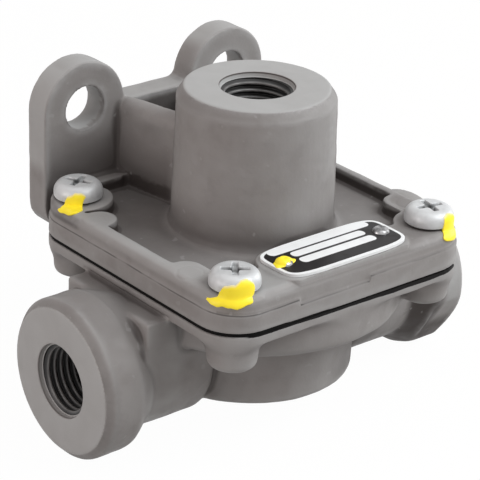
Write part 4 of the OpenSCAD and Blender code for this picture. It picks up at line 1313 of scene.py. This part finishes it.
class VALVE_OT_gasket(bpy.types.Operator):
    """Gives the flange gasket its rubber"""

    bl_idname = "valve.gasket"
    bl_label = "Flange gasket"

    def execute(self, context):
        node = frame["nodes"]["flange_gasket"]
        node.data.materials.clear()
        node.data.materials.append(finish("gasket_rubber"))
        return {"FINISHED"}


class VALVE_OT_screws(bpy.types.Operator):
    """Makes the four cross-recess pan head screws"""

    bl_idname = "valve.screws"
    bl_label = "Cover screws"

    def execute(self, context):
        trim = context.scene.valve_trim
        parts, recess_shades = [], []
        for name, place in screw_places().items():
            points, quads, grime = pan_screw(trim, TOWARDS_CAMERA + math.radians(SCREW_TURNS[name]))
            parts.append((points + np.array(place), quads))
            recess_shades.append(grime)
        numpy_piece("pan_head_screws", joined(parts), finish("zinc_screws"), "housing", "zinc_steel", "cover_screws",
                    grime=np.concatenate(recess_shades))
        return {"FINISHED"}


class VALVE_OT_paint(bpy.types.Operator):
    """Makes the yellow lacquer marks that show that the screws are tight"""

    bl_idname = "valve.paint"
    bl_label = "Lacquer marks"

    def execute(self, context):
        trim = context.scene.valve_trim
        places = screw_places()
        for seed, (name, dab) in enumerate(PAINT_DABS.items()):
            points, quads, thin = paint_dab(trim, dab, places[name], 20 + 2 * seed)
            numpy_piece("lacquer_" + name, (points + np.array(places[name]), quads), finish("lacquer_yellow"),
                        "housing", "zinc_steel", angle=70, thin=thin)
        points, quads = rivet_smear(RIVET_RADIUS, RIVET_HEIGHT)
        place = np.array([RIVETS_LOW[0] + RIVET_RADIUS, PLATE_MID[1], PLATE_TOP])
        numpy_piece("lacquer_rivet", (points + place, quads), finish("lacquer_yellow"), "housing", "plate", angle=70)
        return {"FINISHED"}


class VALVE_OT_nameplate(bpy.types.Operator):
    """Prints the nameplate and makes its two rivets"""

    bl_idname = "valve.nameplate"
    bl_label = "Nameplate and rivets"

    def execute(self, context):
        points, quads, border = plate_sheet()
        numpy_piece("printed_plate", (points, quads), finish("plate_print"), "housing", "plate", "nameplate",
                    border=border)
        share = np.linspace(0, 1, 20)
        dome = np.stack([share * RIVET_RADIUS, RIVET_HEIGHT * rivet_dome(share)], 1)
        pin, foot = 1.0, RIVETS_LOW[2] - PLATE_TOP
        shank = [(RIVET_RADIUS, 0), (pin, 0), (pin, foot), (0, foot)]
        points, quads = turned(np.concatenate([dome, shank]), 48)
        across = RIVETS_HIGH[0] - RIVET_RADIUS
        parts = [(points + np.array([side * across, PLATE_MID[1], PLATE_TOP]), quads) for side in (-1, 1)]
        numpy_piece("drive_rivets", joined(parts), finish("rivet_metal"), "housing", "rivet", "nameplate_rivets")
        return {"FINISHED"}


class VALVE_OT_inner_parts(bpy.types.Operator):
    """Makes the diaphragm, the spring seat and the return spring"""

    bl_idname = "valve.inner_parts"
    bl_label = "Diaphragm and spring"

    def execute(self, context):
        radius, stud = DISC_HIGH[0], 2.9
        low, high, face = DISC_LOW[2], DISC_HIGH[2], SEAT_LOW[2]
        disc = rounded_profile([(0, low, 0), (radius, low, 0.6), (radius, face, 0.6), (stud, face, 0),
                                (stud, high, 0.5), (0, high, 0)])
        numpy_piece("diaphragm_disc", turned(disc, 128), finish("gasket_rubber"), "valve", "black_rubber",
                    "valve_diaphragm")
        rim, top, bore, hub, ledge = SEAT_HIGH[0], SEAT_HIGH[2], 3.0, 7.3, SEAT_LOW[2] + 1.5
        seat = rounded_profile([(bore, face, 0), (rim, face, 0.2), (rim, ledge, 0.3), (hub, ledge, 0.3),
                                (hub, top, 0.6), (bore, top, 0.3), (bore, face, 0)])
        numpy_piece("spring_seat_cup", turned(seat, 96), finish("seat_brass_turned"), "valve", "seat_brass",
                    "spring_seat")
        wire = 0.7
        shape = coil(SPRING_HIGH[0] - wire, wire, SPRING_LOW[2], SPRING_HIGH[2], 6)
        made = numpy_piece("return_spring_coil", shape, finish("spring_wire"), "housing", "spring_steel",
                           "return_spring", angle=60)
        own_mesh(made)
        return {"FINISHED"}


def white_to_camera(tree):
    """A factor of 1 for rays that come from the camera, from gloss or through glass."""
    rays = tree.nodes.new("ShaderNodeLightPath").outputs
    seen = maths(tree, "MAXIMUM", rays["Is Camera Ray"], rays["Is Glossy Ray"])
    return maths(tree, "MAXIMUM", seen, rays["Is Transmission Ray"])


def floor_material():
    """Pale floor that looks white and keeps a soft shadow."""
    made = bpy.data.materials.new("pale_floor")
    made.use_nodes = True
    tree = made.node_tree
    tree.nodes.clear()
    matt = add(tree, "ShaderNodeBsdfDiffuse", {"Color": (0.42, 0.41, 0.40, 1)})
    white = add(tree, "ShaderNodeEmission", {"Color": (1, 1, 1, 1), "Strength": 1.03})
    share = times(tree, white_to_camera(tree), 0.95)
    both = add(tree, "ShaderNodeMixShader", {0: share, 1: matt.outputs[0], 2: white.outputs[0]})
    out = tree.nodes.new("ShaderNodeOutputMaterial")
    tree.links.new(both.outputs[0], out.inputs["Surface"])
    return made


LIGHTS = {
    "top": {"place": (0.0, 0.0, 0.9), "size": 0.7, "colour": (0.96, 0.99, 1.0)},
    "left": {"place": (-0.85, 0.1, 0.2), "size": 0.5, "colour": (1.0, 0.91, 0.885)},
    "right": {"place": (0.36, -0.52, 0.64), "size": 0.55, "colour": (0.95, 0.985, 1.0)},
    "edge": {"place": (0.83, -0.2, 0.25), "size": 0.4, "colour": (0.97, 0.99, 1.0)},
}
FLOOR_HALF, FLOOR_GAP = 3.0, 0.2 * MM


def add_floor():
    """A wide pale floor just below the part."""
    level = CAD_BOX[0].z - FLOOR_GAP
    corners = [(x * FLOOR_HALF, y * FLOOR_HALF, level) for x, y in ((-1, -1), (1, -1), (1, 1), (-1, 1))]
    mesh = bpy.data.meshes.new("floor")
    mesh.from_pydata(corners, [], [(0, 1, 2, 3)])
    floor = bpy.data.objects.new("floor", mesh)
    bpy.context.scene.collection.objects.link(floor)
    floor.data.materials.append(floor_material())


def add_surroundings(strength):
    """Even warm light from all round, which the camera sees as white."""
    world = bpy.data.worlds.new("surroundings")
    bpy.context.scene.world = world
    world.use_nodes = True
    tree = world.node_tree
    tree.nodes.clear()
    light = add(tree, "ShaderNodeBackground", {"Color": (1.0, 0.87, 0.83, 1), "Strength": strength})
    white = add(tree, "ShaderNodeBackground", {"Color": (1, 1, 1, 1), "Strength": 1.0})
    both = add(tree, "ShaderNodeMixShader", {0: white_to_camera(tree), 1: light.outputs[0], 2: white.outputs[0]})
    out = tree.nodes.new("ShaderNodeOutputWorld")
    tree.links.new(both.outputs[0], out.inputs["Surface"])


def area_light(name, power, place, size, colour):
    """A square soft light that points at the valve, from a place in metres about it."""
    data = bpy.data.lights.new(name, "AREA")
    data.shape, data.size, data.energy, data.color = "SQUARE", size, power, colour
    made = bpy.data.objects.new(name, data)
    made.location = Vector(VALVE + np.array(place))
    aim = Vector(VALVE) - made.location
    made.rotation_euler = aim.to_track_quat("-Z", "Y").to_euler()
    bpy.context.scene.collection.objects.link(made)


def add_camera(stage):
    """The camera: its turn, height angle and roll, and its distance from the target."""
    a, e, roll = stage.azimuth, stage.elevation, stage.roll
    back = Vector((math.sin(a) * math.cos(e), -math.cos(a) * math.cos(e), math.sin(e)))
    level = Vector((math.cos(a), math.sin(a), 0))
    steep = back.cross(level)
    right = level * math.cos(roll) + steep * math.sin(roll)
    up = steep * math.cos(roll) - level * math.sin(roll)
    data = bpy.data.cameras.new("camera")
    data.sensor_width, data.lens = 36.0, stage.lens
    data.clip_start, data.clip_end = 0.01, 20.0
    camera = bpy.data.objects.new("camera", data)
    bpy.context.scene.collection.objects.link(camera)
    turn = Matrix((right, up, back)).transposed().to_4x4()
    camera.matrix_world = Matrix.Translation(Vector(VALVE) + Vector(stage.target) + back * stage.distance) @ turn
    bpy.context.scene.camera = camera


class VALVE_OT_stage(bpy.types.Operator):
    """Makes the floor, the lights, the white surroundings and the camera"""

    bl_idname = "valve.stage"
    bl_label = "Stage"

    def execute(self, context):
        stage = context.scene.valve_stage
        add_floor()
        add_surroundings(stage.sky)
        for name, light in LIGHTS.items():
            area_light(name + "_light", getattr(stage, name), **light)
        add_camera(stage)
        context.scene.view_settings.view_transform = "Standard"
        return {"FINISHED"}


OPERATORS = (VALVE_OT_stage, VALVE_OT_cover, VALVE_OT_body, VALVE_OT_threads, VALVE_OT_gasket, VALVE_OT_screws,
             VALVE_OT_paint, VALVE_OT_nameplate, VALVE_OT_inner_parts)


class VALVE_PT_panel(bpy.types.Panel):
    """Lists the pieces of the valve"""

    bl_label = "Quick exhaust valve"
    bl_idname = "VALVE_PT_panel"
    bl_space_type = "VIEW_3D"
    bl_region_type = "UI"
    bl_category = "Valve"

    def draw(self, context):
        for operator in OPERATORS:
            self.layout.operator(operator.bl_idname)


SETTINGS = {"valve_cast": CastSettings, "valve_trim": TrimSettings, "valve_stage": StageSettings}
CLASSES = (*SETTINGS.values(), *OPERATORS, VALVE_PT_panel)


def register():
    """Registers the classes and hangs the settings on the scene."""
    for made in CLASSES:
        bpy.utils.register_class(made)
    for name, kind in SETTINGS.items():
        setattr(bpy.types.Scene, name, PointerProperty(type=kind))


def unregister():
    """Takes the settings off the scene and the classes out again."""
    for name in SETTINGS:
        delattr(bpy.types.Scene, name)
    for made in reversed(CLASSES):
        bpy.utils.unregister_class(made)


def main():
    register()
    build_groups()
    for operator in OPERATORS:
        name = operator.bl_idname.split(".")[1]
        getattr(bpy.ops.valve, name)()


if __name__ == "__main__":
    main()
